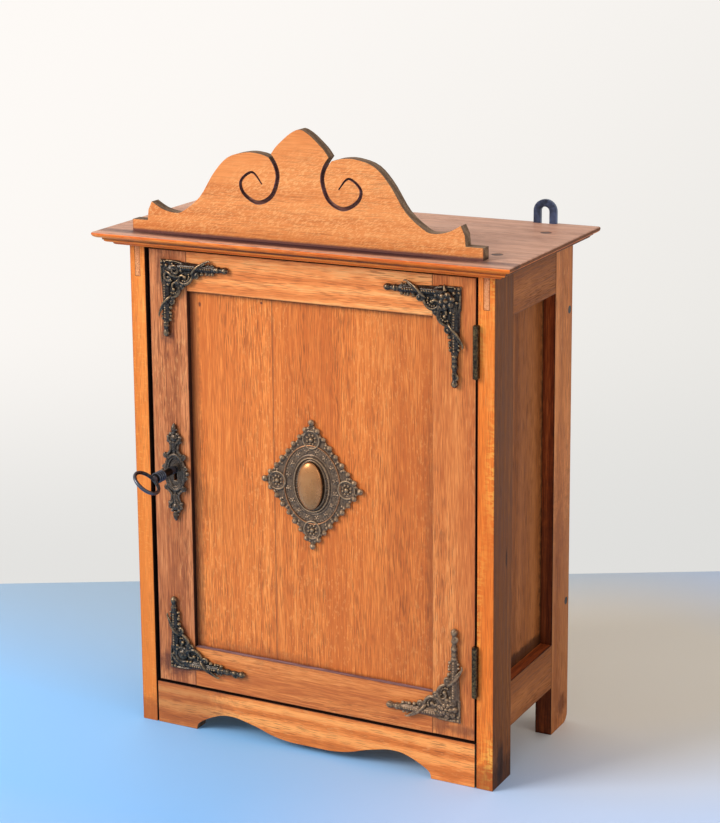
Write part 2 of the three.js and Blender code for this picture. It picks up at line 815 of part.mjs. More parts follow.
function leafSeat(z, on_post) {
  const [x0, x1] = leafX(on_post);
  const gap = joint_clearance;
  const open_in = on_post ? overrun : 0;
  const open_out = on_post ? 0 : overrun;
  return block(x0 - open_in - gap * (1 - Number(on_post)), x1 + open_out + gap * Number(on_post), -overrun,
    leaf_depth + gap, z - gap, z + hinge_height + gap);
}

function postLeafSeat(z) {
  return leafSeat(z, true);
}

function doorLeafSeat(z) {
  return leafSeat(z, false);
}

function knuckleSpan(index) {
  const pitch = hinge_height / knuckle_count;
  return [index * pitch + knuckle_gap / 2, (index + 1) * pitch - knuckle_gap / 2];
}

// A leaf stands at its hinge's foot: the plate, its own knuckles, and room for the other leaf's.
function hingeLeaf(on_post) {
  const [x0, x1] = leafX(on_post).map((x) => x - pin_x);
  let leaf = solid(block(x0, x1, 0, leaf_depth - pin_y, 0, hinge_height));
  for (let index = 0; index < knuckle_count; index += 1) {
    const [z0, z1] = knuckleSpan(index);
    const own = (index % 2 === 0) === on_post;
    const room = pinAlongZ(knuckle_radius + knuckle_gap, 0, 0, z0 - knuckle_gap, z1 + knuckle_gap);
    if (!own) leaf = cut(leaf, room);
  }
  for (let index = 0; index < knuckle_count; index += 1) {
    const [z0, z1] = knuckleSpan(index);
    if ((index % 2 === 0) === on_post) leaf = join(leaf, pinAlongZ(knuckle_radius, 0, 0, z0, z1));
  }
  const bore = pinAlongZ(hinge_pin_radius + pin_running_clearance, 0, 0, -overrun, hinge_height + overrun);
  return cut(leaf, bore);
}

function hingePin() {
  const z1 = hinge_height + pin_running_clearance;
  const profile = [
    [0, -pin_head_height], [pin_head_radius, -pin_head_height], [pin_head_radius, -pin_running_clearance],
    [hinge_pin_radius, -pin_running_clearance], [hinge_pin_radius, z1], [pin_head_radius, z1],
    [pin_head_radius, z1 + pin_head_height], [0, z1 + pin_head_height],
  ];
  const pin = new THREE.LatheGeometry(profile.map(([r, h]) => new THREE.Vector2(r, h)), round_sides);
  return pin.rotateX(Math.PI / 2);
}

function at(mesh, x, y, z) {
  mesh.position.set(x, y, z);
  return mesh;
}

// Lock: a case let into the back of the left stile, a sliding bolt and a strike in the post.
function keyhole(y0, y1) {
  const half = keyhole_slot_width / 2;
  const round = pinAlongY(key_shaft_radius + key_hole_clearance, key_x, y0, y1, key_axis_z);
  const slot = block(key_x - half, key_x + half, y0, y1, key_axis_z - keyhole_drop, key_axis_z);
  return join(round, slot);
}

function lockBlock(extra) {
  const middle = key_axis_z;
  return block(door_left - extra, door_left + lock_width + extra,
    lock_front_y - extra, door_thickness + extra,
    middle - lock_height / 2 - extra, middle + lock_height / 2 + extra);
}

function boltBar(x0, extra) {
  return block(x0 - extra, x0 + bolt_length + extra, bolt_y - extra, bolt_y + bolt_thickness + extra,
    bolt_z - extra, bolt_z + bolt_height + extra);
}

function lockCase() {
  const half = lock_height / 2 - lock_wall;
  const hollow = block(door_left + lock_wall, door_left + lock_width - lock_wall, lock_front_y - overrun,
    door_thickness - lock_wall, key_axis_z - half, key_axis_z + half);
  const bolt_way = block(door_left - overrun, door_left + lock_wall + overrun, bolt_y - bolt_running_gap,
    bolt_y + bolt_thickness + bolt_running_gap, bolt_z - bolt_running_gap,
    bolt_z + bolt_height + bolt_running_gap);
  return cut(lockBlock(0), hollow, bolt_way);
}

function strikeBlock(extra) {
  const middle = bolt_z + bolt_height / 2;
  const y_middle = bolt_y + bolt_thickness / 2;
  return block(-inner_half - strike_thickness - extra, -inner_half,
    y_middle - strike_width / 2 - extra, y_middle + strike_width / 2 + extra,
    middle - strike_height / 2 - extra, middle + strike_height / 2 + extra);
}

function strikeSeat() {
  return join(strikeBlock(joint_clearance), strikeBlock(joint_clearance).translate(overrun, 0, 0));
}

function strikeHole() {
  const gap = strike_hole_margin;
  return block(-inner_half - strike_hole_depth, -inner_half + overrun,
    bolt_y - gap, bolt_y + bolt_thickness + gap, bolt_z - gap, bolt_z + bolt_height + gap);
}

// Escutcheon: an oval round the keyhole, with a neck, a palmette and a tip above and below.
function ovalPlate(width, height, x, z, rise, sides = round_sides) {
  const oval = pinAlongY(1, 0, -rise, 0, 0, sides);
  return oval.scale(width / 2, 1, height / 2).translate(x, 0, z);
}

function escutcheonKnob(x, z) {
  return pinAlongY(escutcheon_knob_radius, x, -escutcheon_knob_rise, 0, z, small_sides);
}

function escutcheonEnd(up) {
  const middle = key_axis_z - escutcheon_drop;
  const palmette_z = middle + up * escutcheon_palmette_share * escutcheon_height;
  const tip_z = middle + up * (escutcheon_height - escutcheon_tip_height) / 2;
  const half_neck = escutcheon_neck_width / 2;
  const [reach_share, rise_share] = escutcheon_shoulder_shares;
  const shoulder = (side) => escutcheonKnob(key_x + side * reach_share * escutcheon_height,
    middle + up * rise_share * escutcheon_height);
  return [
    block(key_x - half_neck, key_x + half_neck, -escutcheon_thickness, 0, middle, palmette_z),
    ovalPlate(escutcheon_palmette_width, escutcheon_palmette_height, key_x, palmette_z,
      escutcheon_knob_rise),
    ovalPlate(escutcheon_tip_width, escutcheon_tip_height, key_x, tip_z, escutcheon_thickness, small_sides),
    shoulder(-1),
    shoulder(1),
  ];
}

function escutcheon() {
  const middle = key_axis_z - escutcheon_drop;
  const oval = ovalPlate(escutcheon_oval_width, escutcheon_oval_height, key_x, middle,
    escutcheon_thickness);
  const sides = [-1, 1].map((side) => escutcheonKnob(key_x + side * escutcheon_side_reach, middle));
  const rim = ovalPlate(escutcheon_oval_width - 2 * keyhole_rim_width,
    escutcheon_oval_height - 2 * keyhole_rim_width, key_x, middle, escutcheon_knob_rise);
  const plate = join(oval, rim, ...sides, ...escutcheonEnd(1), ...escutcheonEnd(-1));
  return cut(plate, keyhole(-escutcheon_knob_rise - overrun, overrun));
}

// Key: modelled round its own axis, with its bow towards low Y and its bit turned to +X.
function keyShape() {
  const end_y = bolt_y - 2 * bolt_running_gap;
  const bow_y = -key_reach - key_bow_length / 2;
  const shaft = pinAlongY(key_shaft_radius, 0, -key_reach - key_bow_wire_radius, end_y, 0);
  const bow = new THREE.TorusGeometry(key_bow_width / 2 - key_bow_wire_radius, key_bow_wire_radius,
    small_sides, round_sides + small_sides);
  bow.scale(1, key_bow_length / key_bow_width, 1).translate(0, bow_y, 0);
  const half_bit = key_bit_thickness / 2;
  const bit = block(0, key_bit_length, end_y - key_bit_depth, end_y, -half_bit, half_bit);
  const collars = [0, 2 * key_collar_width].map((back) => pinAlongY(key_collar_radius, 0,
    -key_reach + key_collar_width + back, -key_reach + 2 * key_collar_width + back, 0));
  return join(shaft, bow, bit, ...collars);
}

// Medallion: a diamond plate edged with beads, with an oval rim, rosettes and a smooth boss.
function medallionPlate() {
  const half_w = medallion_width / 2 - medallion_bead_radius;
  const half_h = medallion_height / 2 - medallion_bead_radius;
  const corners = [[half_w, 0], [0, half_h], [-half_w, 0], [0, -half_h]];
  const bead_y = -medallion_plate - medallion_rim_radius / 2;
  const rosette_y = -medallion_plate - medallion_rosette_height;
  const parts = [frontSlab(outline(corners), -medallion_plate, 0)];
  corners.forEach(([x, z], i) => {
    const [next_x, next_z] = corners[(i + 1) % corners.length];
    for (let bead = 0; bead < medallion_beads_per_edge; bead += 1) {
      const t = bead / medallion_beads_per_edge;
      parts.push(pinAlongY(medallion_bead_radius, x + (next_x - x) * t, bead_y, 0, z + (next_z - z) * t,
        small_sides));
    }
  });
  const rim_share = medallion_rim_height / medallion_rim_width;
  const rim = new THREE.TorusGeometry(medallion_rim_width / 2 - medallion_rim_radius, medallion_rim_radius,
    small_sides, 2 * round_sides);
  rim.rotateX(Math.PI / 2).scale(1, 1, rim_share).translate(0, -medallion_plate, 0);
  const above_back = block(-half_w, half_w, -medallion_plate - medallion_rim_radius, 0, -half_h, half_h);
  parts.push(common(rim, above_back));
  medallion_rosette_shares.forEach(([x, z]) => {
    parts.push(pinAlongY(medallion_rosette_radius, x * medallion_width / 2, rosette_y, 0,
      z * medallion_height / 2));
  });
  return join(...parts);
}

function medallionBoss() {
  const profile = new THREE.Path();
  profile.moveTo(0, 0);
  profile.lineTo(boss_width / 2, 0);
  profile.absellipse(0, 0, boss_width / 2, boss_rise, 0, Math.PI / 2, false);
  const dome = new THREE.LatheGeometry(profile.getPoints(round_steps), 2 * round_sides);
  return dome.rotateX(Math.PI).scale(1, 1, boss_height / boss_width);
}

// Corner mounts: a cast corner with two tapering arms. A place on an arm is given along it and aside
// from it, and becomes X and Z by the way the arm runs.
function armPlace(across, towards) {
  return ([along, aside]) => (across
    ? [along * towards.x, aside * towards.z] : [aside * towards.x, along * towards.z]);
}

function mountArm(length, place) {
  const tip = length - mount_finial_radius;
  const tip_aside = mount_arm_setback + mount_arm_lean;
  const inner = mount_arm_setback + mount_arm_width;
  const plate = [[0, 0], [mount_corner_size, mount_arm_setback], [tip, tip_aside],
    [tip, tip_aside + mount_tip_width], [mount_corner_size, inner], [0, inner]];
  const rib_middle = mount_arm_setback + mount_arm_width / 2;
  const rib_end = tip_aside + mount_tip_width / 2;
  const half = mount_rib_width / 2;
  const rib = [[mount_corner_size / 2, rib_middle - half], [tip, rib_end - half], [tip, rib_end + half],
    [mount_corner_size / 2, rib_middle + half]];
  return [
    frontSlab(outline(plate.map(place)), -mount_plate, 0),
    frontSlab(outline(rib.map(place)), -mount_rib_rise, 0),
  ];
}

function mountKnobs(length, place) {
  const inner = mount_arm_setback + mount_arm_width;
  const tip = length - mount_finial_radius;
  const tip_inner = mount_arm_setback + mount_arm_lean + mount_tip_width;
  const knob = (along, aside, radius, rise) => {
    const [x, z] = place([along, aside]);
    return pinAlongY(radius, x, -rise, 0, z, small_sides);
  };
  const knobs = mount_knob_shares.map((share, i) => {
    const radius = mount_knob_radii[i];
    const t = (share * length - mount_corner_size) / (tip - mount_corner_size);
    return knob(share * length, inner + (tip_inner - inner) * t + radius / 2, radius,
      mount_plate + radius / 2);
  });
  return [...knobs, knob(tip, tip_inner - mount_tip_width / 2, mount_finial_radius, mount_relief)];
}

function mountLeafAndWrap(length, place) {
  const [root, tip, heel] = mount_leaf_shares.map((share) => share * length);
  const edge = mount_arm_setback + mount_arm_lean;
  const leaf = [[root, edge], [tip, edge - mount_arm_lean - mount_leaf_reach], [heel, edge]];
  const wrap_at = mount_wrap_share * length;
  const wrap_end = mount_arm_setback + mount_arm_width;
  const wrap = [[wrap_at + mount_wrap_width, 0], [wrap_at + 2 * mount_wrap_width, 0],
    [wrap_at, wrap_end], [wrap_at - mount_wrap_width, wrap_end]];
  return [
    frontSlab(outline(leaf.map(place)), -mount_plate, 0),
    frontSlab(outline(wrap.map(place)), -mount_relief, 0),
  ];
}

// The mount's outer corner is at its own zero; towards says which way its arms run.
function cornerMount(arms, towards) {
  const size = mount_corner_size;
  const parts = [block(0, size * towards.x, -mount_plate, 0, 0, size * towards.z)];
  mount_lobe_shares.forEach(([u, v], i) => {
    const [x, z] = [u * size * towards.x, v * size * towards.z];
    parts.push(pinAlongY(mount_lobe_radii[i], x, -mount_rib_rise, 0, z));
  });
  parts.push(pinAlongY(mount_rosette_radius, size / 2 * towards.x, -mount_relief, 0, size / 2 * towards.z));
  [[arms.across, true], [arms.along, false]].forEach(([length, across]) => {
    const place = armPlace(across, towards);
    parts.push(...mountArm(length, place), ...mountKnobs(length, place));
    parts.push(...mountLeafAndWrap(length, place));
  });
  return join(...parts);
}

// Hanging plates: flat iron straps on the back, each with an eye above the top.
function hangerShape() {
  const half = hanger_width / 2;
  const eye_half = hanger_eye_width / 2;
  const top = top_z + hanger_rise;
  const shape = new THREE.Shape();
  shape.moveTo(-half, top - hanger_length);
  shape.lineTo(half, top - hanger_length);
  shape.lineTo(half, top - half);
  shape.absarc(0, top - half, half, 0, Math.PI, false);
  const eye_top = top - (half - eye_half) - eye_half;
  const eye = new THREE.Path();
  eye.absarc(0, eye_top, eye_half, 0, Math.PI, false);
  eye.absarc(0, eye_top - hanger_eye_height + 2 * eye_half, eye_half, Math.PI, 2 * Math.PI, false);
  shape.holes.push(eye);
  hanger_hole_shares.forEach((share) => {
    const hole = new THREE.Path();
    hole.absarc(0, top - hanger_length + share * hanger_length, hanger_hole_radius, 0, 2 * Math.PI, false);
    shape.holes.push(hole);
  });
  return frontSlab(shape, 0, hanger_thickness);
}

function topPlug() {
  const plug = new THREE.CylinderGeometry(plug_radius, plug_radius, plug_depth, round_sides);
  return plug.rotateX(Math.PI / 2).translate(0, 0, -plug_depth / 2);
}

function screwPiece(name, side, z) {
  return piece(name, screwAt(side, z, 0), 'iron');
}

function sideFrame(side) {
  const hand = side < 0 ? 'left' : 'right';
  return groupOf(
    piece(`front_post_${hand}`, frontPost(side), 'front_oak'),
    piece(`back_post_${hand}`, backPost(side), 'side_oak'),
    piece(`side_rail_top_${hand}`, topSideRail(side), 'side_oak'),
    piece(`side_rail_bottom_${hand}`, bottomSideRail(side), 'side_oak'),
    piece(`side_panel_${hand}`, sidePanel(side), 'side_oak'),
    piece(`shelf_cleat_lower_${hand}`, cleat(side, lower_shelf_z), 'inner_oak'),
    piece(`shelf_cleat_upper_${hand}`, cleat(side, upper_shelf_z), 'inner_oak'),
    screwPiece(`back_screw_lower_${hand}`, side, screw_heights[0]),
    screwPiece(`back_screw_upper_${hand}`, side, screw_heights[1]),
    at(piece(`hanger_${hand}`, hangerShape(), 'iron'), side * hanger_from_middle, body_depth, 0),
  );
}

function carcass() {
  return groupOf(
    sideFrame(-1),
    sideFrame(1),
    piece('top_board', topBoard(), 'top_oak'),
    piece('cornice_front', corniceFront(), 'front_oak'),
    piece('cornice_left', corniceSide(-1), 'side_oak'),
    piece('cornice_right', corniceSide(1), 'side_oak'),
    piece('crest_board', crestBoard(), 'front_oak'),
    piece('top_front_rail', topFrontRail(), 'front_oak'),
    piece('apron', apron(), 'front_oak'),
    piece('bottom_board', bottomBoard(), 'inner_oak'),
    piece('back_panel', backPanel(), 'inner_oak'),
    piece('shelf_lower', shelf(lower_shelf_z), 'inner_oak'),
    piece('shelf_upper', shelf(upper_shelf_z), 'inner_oak'),
    piece('door_stop', doorStop(), 'inner_oak'),
    piece('strike_plate', cut(strikeBlock(0), strikeHole()), 'brass'),
    ...plugPlaces().map(({ name, x, y }) => at(piece(name, topPlug(), 'plug'), x, y, top_z)),
  );
}

function hinges() {
  const places = { lower: lower_hinge_z, upper: upper_hinge_z };
  return Object.entries(places).flatMap(([row, z]) => [
    at(piece(`hinge_leaf_post_${row}`, hingeLeaf(true), 'brass'), pin_x, pin_y, z),
    at(piece(`hinge_leaf_door_${row}`, hingeLeaf(false), 'brass'), pin_x, pin_y, z),
    at(piece(`hinge_pin_${row}`, hingePin(), 'brass'), pin_x, pin_y, z),
  ]);
}

function cornerMounts() {
  const left = door_left + mount_corner_inset;
  const right = door_right - mount_corner_inset;
  const high = door_top - mount_top_inset;
  const low = door_bottom + mount_bottom_inset;
  const rightwards = 1;
  const places = [
    ['corner_mount_top_left', mount_top_left_arms, left, high, { x: rightwards, z: -1 }],
    ['corner_mount_top_right', mount_top_right_arms, right, high, { x: -rightwards, z: -1 }],
    ['corner_mount_bottom_right', mount_bottom_right_arms, right, low, { x: -rightwards, z: 1 }],
    ['corner_mount_bottom_left', mount_bottom_left_arms, left, low, { x: rightwards, z: 1 }],
  ];
  return places.map(([name, arms, x, z, towards]) => (
    at(piece(name, cornerMount(arms, towards), 'bronze'), x, 0, z)
  ));
}

function door() {
  const left_cuts = [lockBlock(joint_clearance), keyhole(-overrun, lock_front_y + overrun)];
  const right_cuts = [lower_hinge_z, upper_hinge_z].map(doorLeafSeat);
  return groupOf(
    piece('door_stile_left', stile(door_left, left_stile_inner, ...left_cuts), 'front_oak'),
    piece('door_stile_right', stile(right_stile_inner, door_right, ...right_cuts), 'front_oak'),
    piece('door_rail_top', doorRail(door_panel_top, door_top, topRailTongue), 'front_oak'),
    piece('door_rail_bottom', doorRail(door_bottom, door_panel_bottom, bottomRailTongue), 'front_oak'),
    piece('door_panel', doorPanelSlot(0), 'front_oak'),
    piece('lock_case', lockCase(), 'steel'),
    piece('lock_bolt', boltBar(door_left, 0), 'steel'),
    piece('escutcheon', escutcheon(), 'bronze'),
    at(piece('medallion_plate', medallionPlate(), 'bronze'), door_middle, door_panel_recess, medallion_z),
    at(piece('medallion_boss', medallionBoss(), 'boss_bronze'), door_middle,
      door_panel_recess - medallion_plate - boss_seat, medallion_z),
    ...cornerMounts(),
  );
}

function key() {
  const turned = groupOf(piece('key', keyShape(), 'iron'));
  turned.rotation.y = THREE.MathUtils.degToRad(key_rest_turn_deg);
  turned.position.set(key_x, 0, key_axis_z);
  return turned;
}

// The whole cabinet, stood on the floor and centred on its own box.
const cabinet = groupOf(carcass(), door(), ...hinges(), key());
const extent = new THREE.Box3().setFromObject(cabinet);
const middle = extent.getCenter(new THREE.Vector3());
cabinet.position.set(-middle.x, -middle.y, -extent.min.z);
cabinet.name = 'medicine_cabinet';

export default cabinet;
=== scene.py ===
"""Looks of a small oak medicine cabinet with dark cast fittings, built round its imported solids."""
import json
import logging
import math
from collections.abc import Callable, Iterable, Sequence
from dataclasses import dataclass, field
from enum import Enum

import bmesh
import bpy
import numpy as np
from mathutils import Matrix, Vector


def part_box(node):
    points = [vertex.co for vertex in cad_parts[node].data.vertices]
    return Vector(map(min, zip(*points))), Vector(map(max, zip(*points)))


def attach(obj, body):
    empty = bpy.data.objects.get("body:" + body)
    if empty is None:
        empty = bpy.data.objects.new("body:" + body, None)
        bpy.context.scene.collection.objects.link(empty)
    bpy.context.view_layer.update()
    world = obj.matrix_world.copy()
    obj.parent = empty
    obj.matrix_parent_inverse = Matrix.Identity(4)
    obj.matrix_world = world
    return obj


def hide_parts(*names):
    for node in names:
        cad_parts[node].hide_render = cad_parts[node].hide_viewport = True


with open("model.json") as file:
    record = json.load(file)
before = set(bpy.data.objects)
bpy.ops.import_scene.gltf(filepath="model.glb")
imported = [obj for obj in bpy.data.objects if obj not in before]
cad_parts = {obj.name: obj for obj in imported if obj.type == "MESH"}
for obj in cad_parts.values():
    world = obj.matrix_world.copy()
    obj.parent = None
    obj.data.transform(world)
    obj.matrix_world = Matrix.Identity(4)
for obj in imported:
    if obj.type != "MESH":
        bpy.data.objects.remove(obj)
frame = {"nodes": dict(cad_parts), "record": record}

MM = 0.001
FULL_TURN = 2 * math.pi
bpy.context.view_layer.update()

Colour = tuple[float, float, float, float]
Tint = tuple[int, int, int]
Pair = tuple[float, float]
Triple = tuple[float, float, float]
Stop = tuple[float, float, float, float]

logging.basicConfig(level=logging.INFO, format="%(message)s")
log = logging.getLogger("medicine_cabinet")


class Grain(Enum):
    """The way the fibres of a board run."""

    ALONG_X = "x"
    ALONG_Y = "y"
    ALONG_Z = "z"


class Body(Enum):
    """The moving bodies of the cabinet."""

    CARCASS = "carcass"
    DOOR = "door"
    KEY = "key"
    BOLT = "bolt"


def painted(red: int, green: int, blue: int) -> Colour:
    """Turns a colour as seen, in steps of 255, into the linear colour that a shader takes.

    Args:
        red: Red as seen.
        green: Green as seen.
        blue: Blue as seen.

    Returns:
        The linear colour with full cover.
    """
    def curve(step: int) -> float:
        """Undoes the display curve for one channel."""
        share = step / 255
        return share / 12.92 if share <= 0.04045 else ((share + 0.055) / 1.055) ** 2.4

    return (curve(red), curve(green), curve(blue), 1.0)


class Graph:
    """Adds and links the nodes of one material or node group."""

    def __init__(self, tree: bpy.types.NodeTree) -> None:
        """Starts on a node tree.

        Args:
            tree: The tree that takes the nodes.
        """
        self.tree = tree

    def add(self, kind: str, **settings: object) -> bpy.types.Node:
        """Adds a node.

        Args:
            kind: Blender's name for the kind of node.
            settings: Properties to set on it.

        Returns:
            The new node.
        """
        node = self.tree.nodes.new(kind)
        for name, value in settings.items():
            setattr(node, name, value)
        return node

    def feed(self, socket: bpy.types.NodeSocket, value: object) -> None:
        """Links an output to an input, or writes a plain value on it.

        Args:
            socket: The input.
            value: Another node's output, or a value.
        """
        if isinstance(value, bpy.types.NodeSocket):
            self.tree.links.new(value, socket)
        else:
            socket.default_value = value

    def tune(self, node: bpy.types.Node, **values: object) -> bpy.types.Node:
        """Feeds the inputs of a node by name.

        Args:
            node: The node.
            values: Its inputs by name, with _ for a space.

        Returns:
            The node.
        """
        for name, value in values.items():
            self.feed(node.inputs[name.replace("_", " ").title()], value)
        return node

    def maths(self, operation: str, *values: object, clamp: bool = False) -> bpy.types.NodeSocket:
        """Adds a sum.

        Args:
            operation: The kind of sum.
            values: What goes in, as outputs or numbers.
            clamp: Whether the result is kept between 0 and 1.

        Returns:
            The result.
        """
        node = self.add("ShaderNodeMath", operation=operation, use_clamp=clamp)
        for socket, value in zip(node.inputs, values):
            self.feed(socket, value)
        return node.outputs[0]

    def vector(self, operation: str, *values: object) -> bpy.types.NodeSocket:
        """Adds a sum of vectors.

        Args:
            operation: The kind of sum.
            values: What goes in, as outputs or triples.

        Returns:
            The resulting vector.
        """
        node = self.add("ShaderNodeVectorMath", operation=operation)
        for socket, value in zip(node.inputs, values):
            self.feed(socket, value)
        return node.outputs[0]

    def noise(self, place: object, scale: float, detail: float = 2.0, roughness: float = 0.5) -> bpy.types.NodeSocket:
        """Adds a soft noise.

        Args:
            place: Where it is read.
            scale: How many features there are in a metre.
            detail: How many finer layers it has.
            roughness: How strong the finer layers are.

        Returns:
            The noise, about 0 to 1.
        """
        node = self.add("ShaderNodeTexNoise")
        return self.tune(node, vector=place, scale=scale, detail=detail, roughness=roughness).outputs["Fac"]

    def span(self, value: object, low: object, high: object, start: float = 0.0,
             end: float = 1.0) -> bpy.types.NodeSocket:
        """Maps a range smoothly onto another, and stops at its ends.

        Args:
            value: What is mapped.
            low: Where the range starts.
            high: Where the range ends.
            start: What low becomes.
            end: What high becomes.

        Returns:
            The mapped value.
        """
        node = self.add("ShaderNodeMapRange", interpolation_type="SMOOTHSTEP")
        for socket, part in zip(node.inputs, (value, low, high, start, end)):
            self.feed(socket, part)
        return node.outputs[0]

    def parts(self, place: object) -> Sequence[bpy.types.NodeSocket]:
        """Takes a vector apart.

        Args:
            place: The vector.

        Returns:
            Its X, Y and Z.
        """
        node = self.add("ShaderNodeSeparateXYZ")
        self.feed(node.inputs[0], place)
        return node.outputs

    def ramp(self, value: object, stops: Sequence[tuple[float, Colour]]) -> bpy.types.NodeSocket:
        """Turns a value into a colour.

        Args:
            value: What is coloured.
            stops: Places from 0 to 1 with their colours.

        Returns:
            The colour.
        """
        node = self.add("ShaderNodeValToRGB")
        elements = node.color_ramp.elements
        while len(elements) < len(stops):
            elements.new(0.5)
        for element, (place, colour) in zip(elements, stops):
            element.position = place
            element.color = colour
        self.feed(node.inputs[0], value)
        return node.outputs[0]

    def blend(self, share: object, first: object, second: object, mode: str = "MIX") -> bpy.types.NodeSocket:
        """Mixes two colours.

        Args:
            share: How much of the second shows.
            first: The colour underneath.
            second: The colour on top.
            mode: The way they are mixed.

        Returns:
            The mixed colour.
        """
        node = self.add("ShaderNodeMix", data_type="RGBA", blend_type=mode)
        share_in, first_in, second_in = node.inputs[0], node.inputs[6], node.inputs[7]
        self.feed(share_in, share)
        self.feed(first_in, first)
        self.feed(second_in, second)
        return node.outputs[2]

    def group(self, tree: bpy.types.NodeTree, **values: object) -> bpy.types.Node:
        """Places a node group.

        Args:
            tree: The group.
            values: Its inputs by name, with _ for a space.

        Returns:
            The group's node.
        """
        return self.tune(self.add("ShaderNodeGroup", node_tree=tree), **values)

    def bump(self, height: object, strength: float, distance: float) -> bpy.types.NodeSocket:
        """Turns a height into a bumped normal.

        Args:
            height: The height.
            strength: How strongly it shows.
            distance: How far out a height of one is.

        Returns:
            The normal.
        """
        node = self.add("ShaderNodeBump")
        return self.tune(node, height=height, strength=strength, distance=distance).outputs[0]

    def mixed(self, share: object, first: bpy.types.Node, second: bpy.types.Node) -> bpy.types.Node:
        """Mixes two shaders.

        Args:
            share: How much of the second shows.
            first: The first shader.
            second: The second shader.

        Returns:
            The node that mixes them.
        """
        node = self.add("ShaderNodeMixShader")
        for socket, value in zip(node.inputs, (share, first.outputs[0], second.outputs[0])):
            self.feed(socket, value)
        return node


def new_group(name: str, inputs: Sequence[tuple[str, str]], outputs: Sequence[str]) -> tuple[Graph, dict, dict]:
    """Starts a shader node group.

    Args:
        name: The group's name.
        inputs: Names and kinds of its inputs.
        outputs: Names of its outputs, which are plain values.

    Returns:
        The graph, the inner ends of the inputs and the inner ends of the outputs.
    """
    tree = bpy.data.node_groups.new(name, "ShaderNodeTree")
    for socket, kind in inputs:
        tree.interface.new_socket(name=socket, in_out="INPUT", socket_type=kind)
    for socket in outputs:
        tree.interface.new_socket(name=socket, in_out="OUTPUT", socket_type="NodeSocketFloat")
    graph = Graph(tree)
    entry = graph.add("NodeGroupInput")
    leave = graph.add("NodeGroupOutput")
    return graph, {s: entry.outputs[s] for s, _ in inputs}, {s: leave.inputs[s] for s in outputs}


VECTOR_IN = "NodeSocketVector"
VALUE_IN = "NodeSocketFloat"
RELIEF = "relief"
CLOUD_STRETCH = (1.0, 1.0, 0.2)
LONG_FIBRE = (1.0, 1.0, 0.03)
SHORT_FIBRE = (1.0, 1.0, 0.045)
CENTRE = (0.0, 0.0)
FACING_BACK = Matrix.Rotation(math.pi / 2, 4, "X")


def oak_figure() -> bpy.types.NodeTree:
    """Builds the figure of oak: soft rings, long streaks, short pores and the bright flecks of its rays.

    Returns:
        The group, which reads a place with the fibres along Z.
    """
    inputs = [("Vector", VECTOR_IN), ("Ring Scale", VALUE_IN), ("Ring Warp", VALUE_IN),
              ("Streak Scale", VALUE_IN), ("Fleck Scale", VECTOR_IN), ("Fleck Slant", VALUE_IN),
              ("Fleck Start", VALUE_IN)]
    graph, given, out = new_group("oak_figure", inputs, ["Rings", "Streaks", "Pores", "Flecks", "Cloud"])
    place = given["Vector"]
    drawn_out = graph.vector("MULTIPLY", place, CLOUD_STRETCH)
    wander = graph.tune(graph.add("ShaderNodeTexNoise"), vector=drawn_out, scale=9.0, detail=2.0)
    centred = graph.vector("SUBTRACT", wander.outputs["Color"], (0.5, 0.5, 0.5))
    pushed = graph.add("ShaderNodeVectorMath", operation="SCALE")
    graph.feed(pushed.inputs[0], centred)
    graph.feed(pushed.inputs["Scale"], given["Ring Warp"])
    warped = graph.vector("ADD", place, pushed.outputs[0])
    rings = graph.add("ShaderNodeTexWave", wave_type="RINGS", rings_direction="Z", wave_profile="SIN")
    graph.tune(rings, vector=warped, scale=given["Ring Scale"], distortion=1.2, detail=3.0, detail_scale=1.6)
    graph.feed(out["Rings"], rings.outputs["Fac"])
    fibre = graph.vector("MULTIPLY", warped, LONG_FIBRE)
    broad = graph.noise(fibre, given["Streak Scale"], 3.0, 0.6)
    short = graph.vector("MULTIPLY", place, SHORT_FIBRE)
    fine = graph.noise(short, graph.maths("MULTIPLY", given["Streak Scale"], 4.2), 2.0, 0.6)
    graph.feed(out["Streaks"], graph.maths("ADD", graph.maths("MULTIPLY", broad, 0.34),
                                           graph.maths("MULTIPLY", fine, 0.66)))
    dashes = graph.noise(short, graph.maths("MULTIPLY", given["Streak Scale"], 6.4), 1.0, 0.5)
    crowded = graph.span(graph.noise(drawn_out, 30.0, 2.0), 0.35, 0.65, 0.25, 1.0)
    graph.feed(out["Pores"], graph.maths("MULTIPLY", graph.span(dashes, 0.52, 0.64), crowded, clamp=True))
    lean = graph.add("ShaderNodeCombineXYZ")
    graph.feed(lean.inputs[0], graph.maths("MULTIPLY", graph.parts(place)[2], given["Fleck Slant"]))
    slanted = graph.vector("ADD", place, lean.outputs[0])
    rays = graph.noise(graph.vector("MULTIPLY", slanted, given["Fleck Scale"]), 1.0, 2.0, 0.55)
    shown = graph.span(graph.noise(drawn_out, 22.0, 2.0), 0.34, 0.58)
    bright = graph.span(graph.maths("SUBTRACT", rays, given["Fleck Start"]), 0.0, 0.10)
    graph.feed(out["Flecks"], graph.maths("MULTIPLY", bright, shown, clamp=True))
    graph.feed(out["Cloud"], graph.noise(drawn_out, 13.0, 3.0, 0.55))
    return graph.tree


def board_edges() -> bpy.types.NodeTree:
    """Builds the distance from a board's nearest edge.

    Returns:
        The group, which reads the board's middle and half its size.
    """
    inputs = [("Vector", VECTOR_IN), ("Middle", VECTOR_IN), ("Half", VECTOR_IN)]
    graph, given, out = new_group("board_edges", inputs, ["Distance"])
    away = graph.vector("ABSOLUTE", graph.vector("SUBTRACT", given["Vector"], given["Middle"]))
    x, y, z = graph.parts(graph.vector("SUBTRACT", given["Half"], away))
    low = graph.maths("MINIMUM", x, y)
    high = graph.maths("MAXIMUM", x, y)
    graph.feed(out["Distance"], graph.maths("MAXIMUM", low, graph.maths("MINIMUM", high, z)))
    return graph.tree


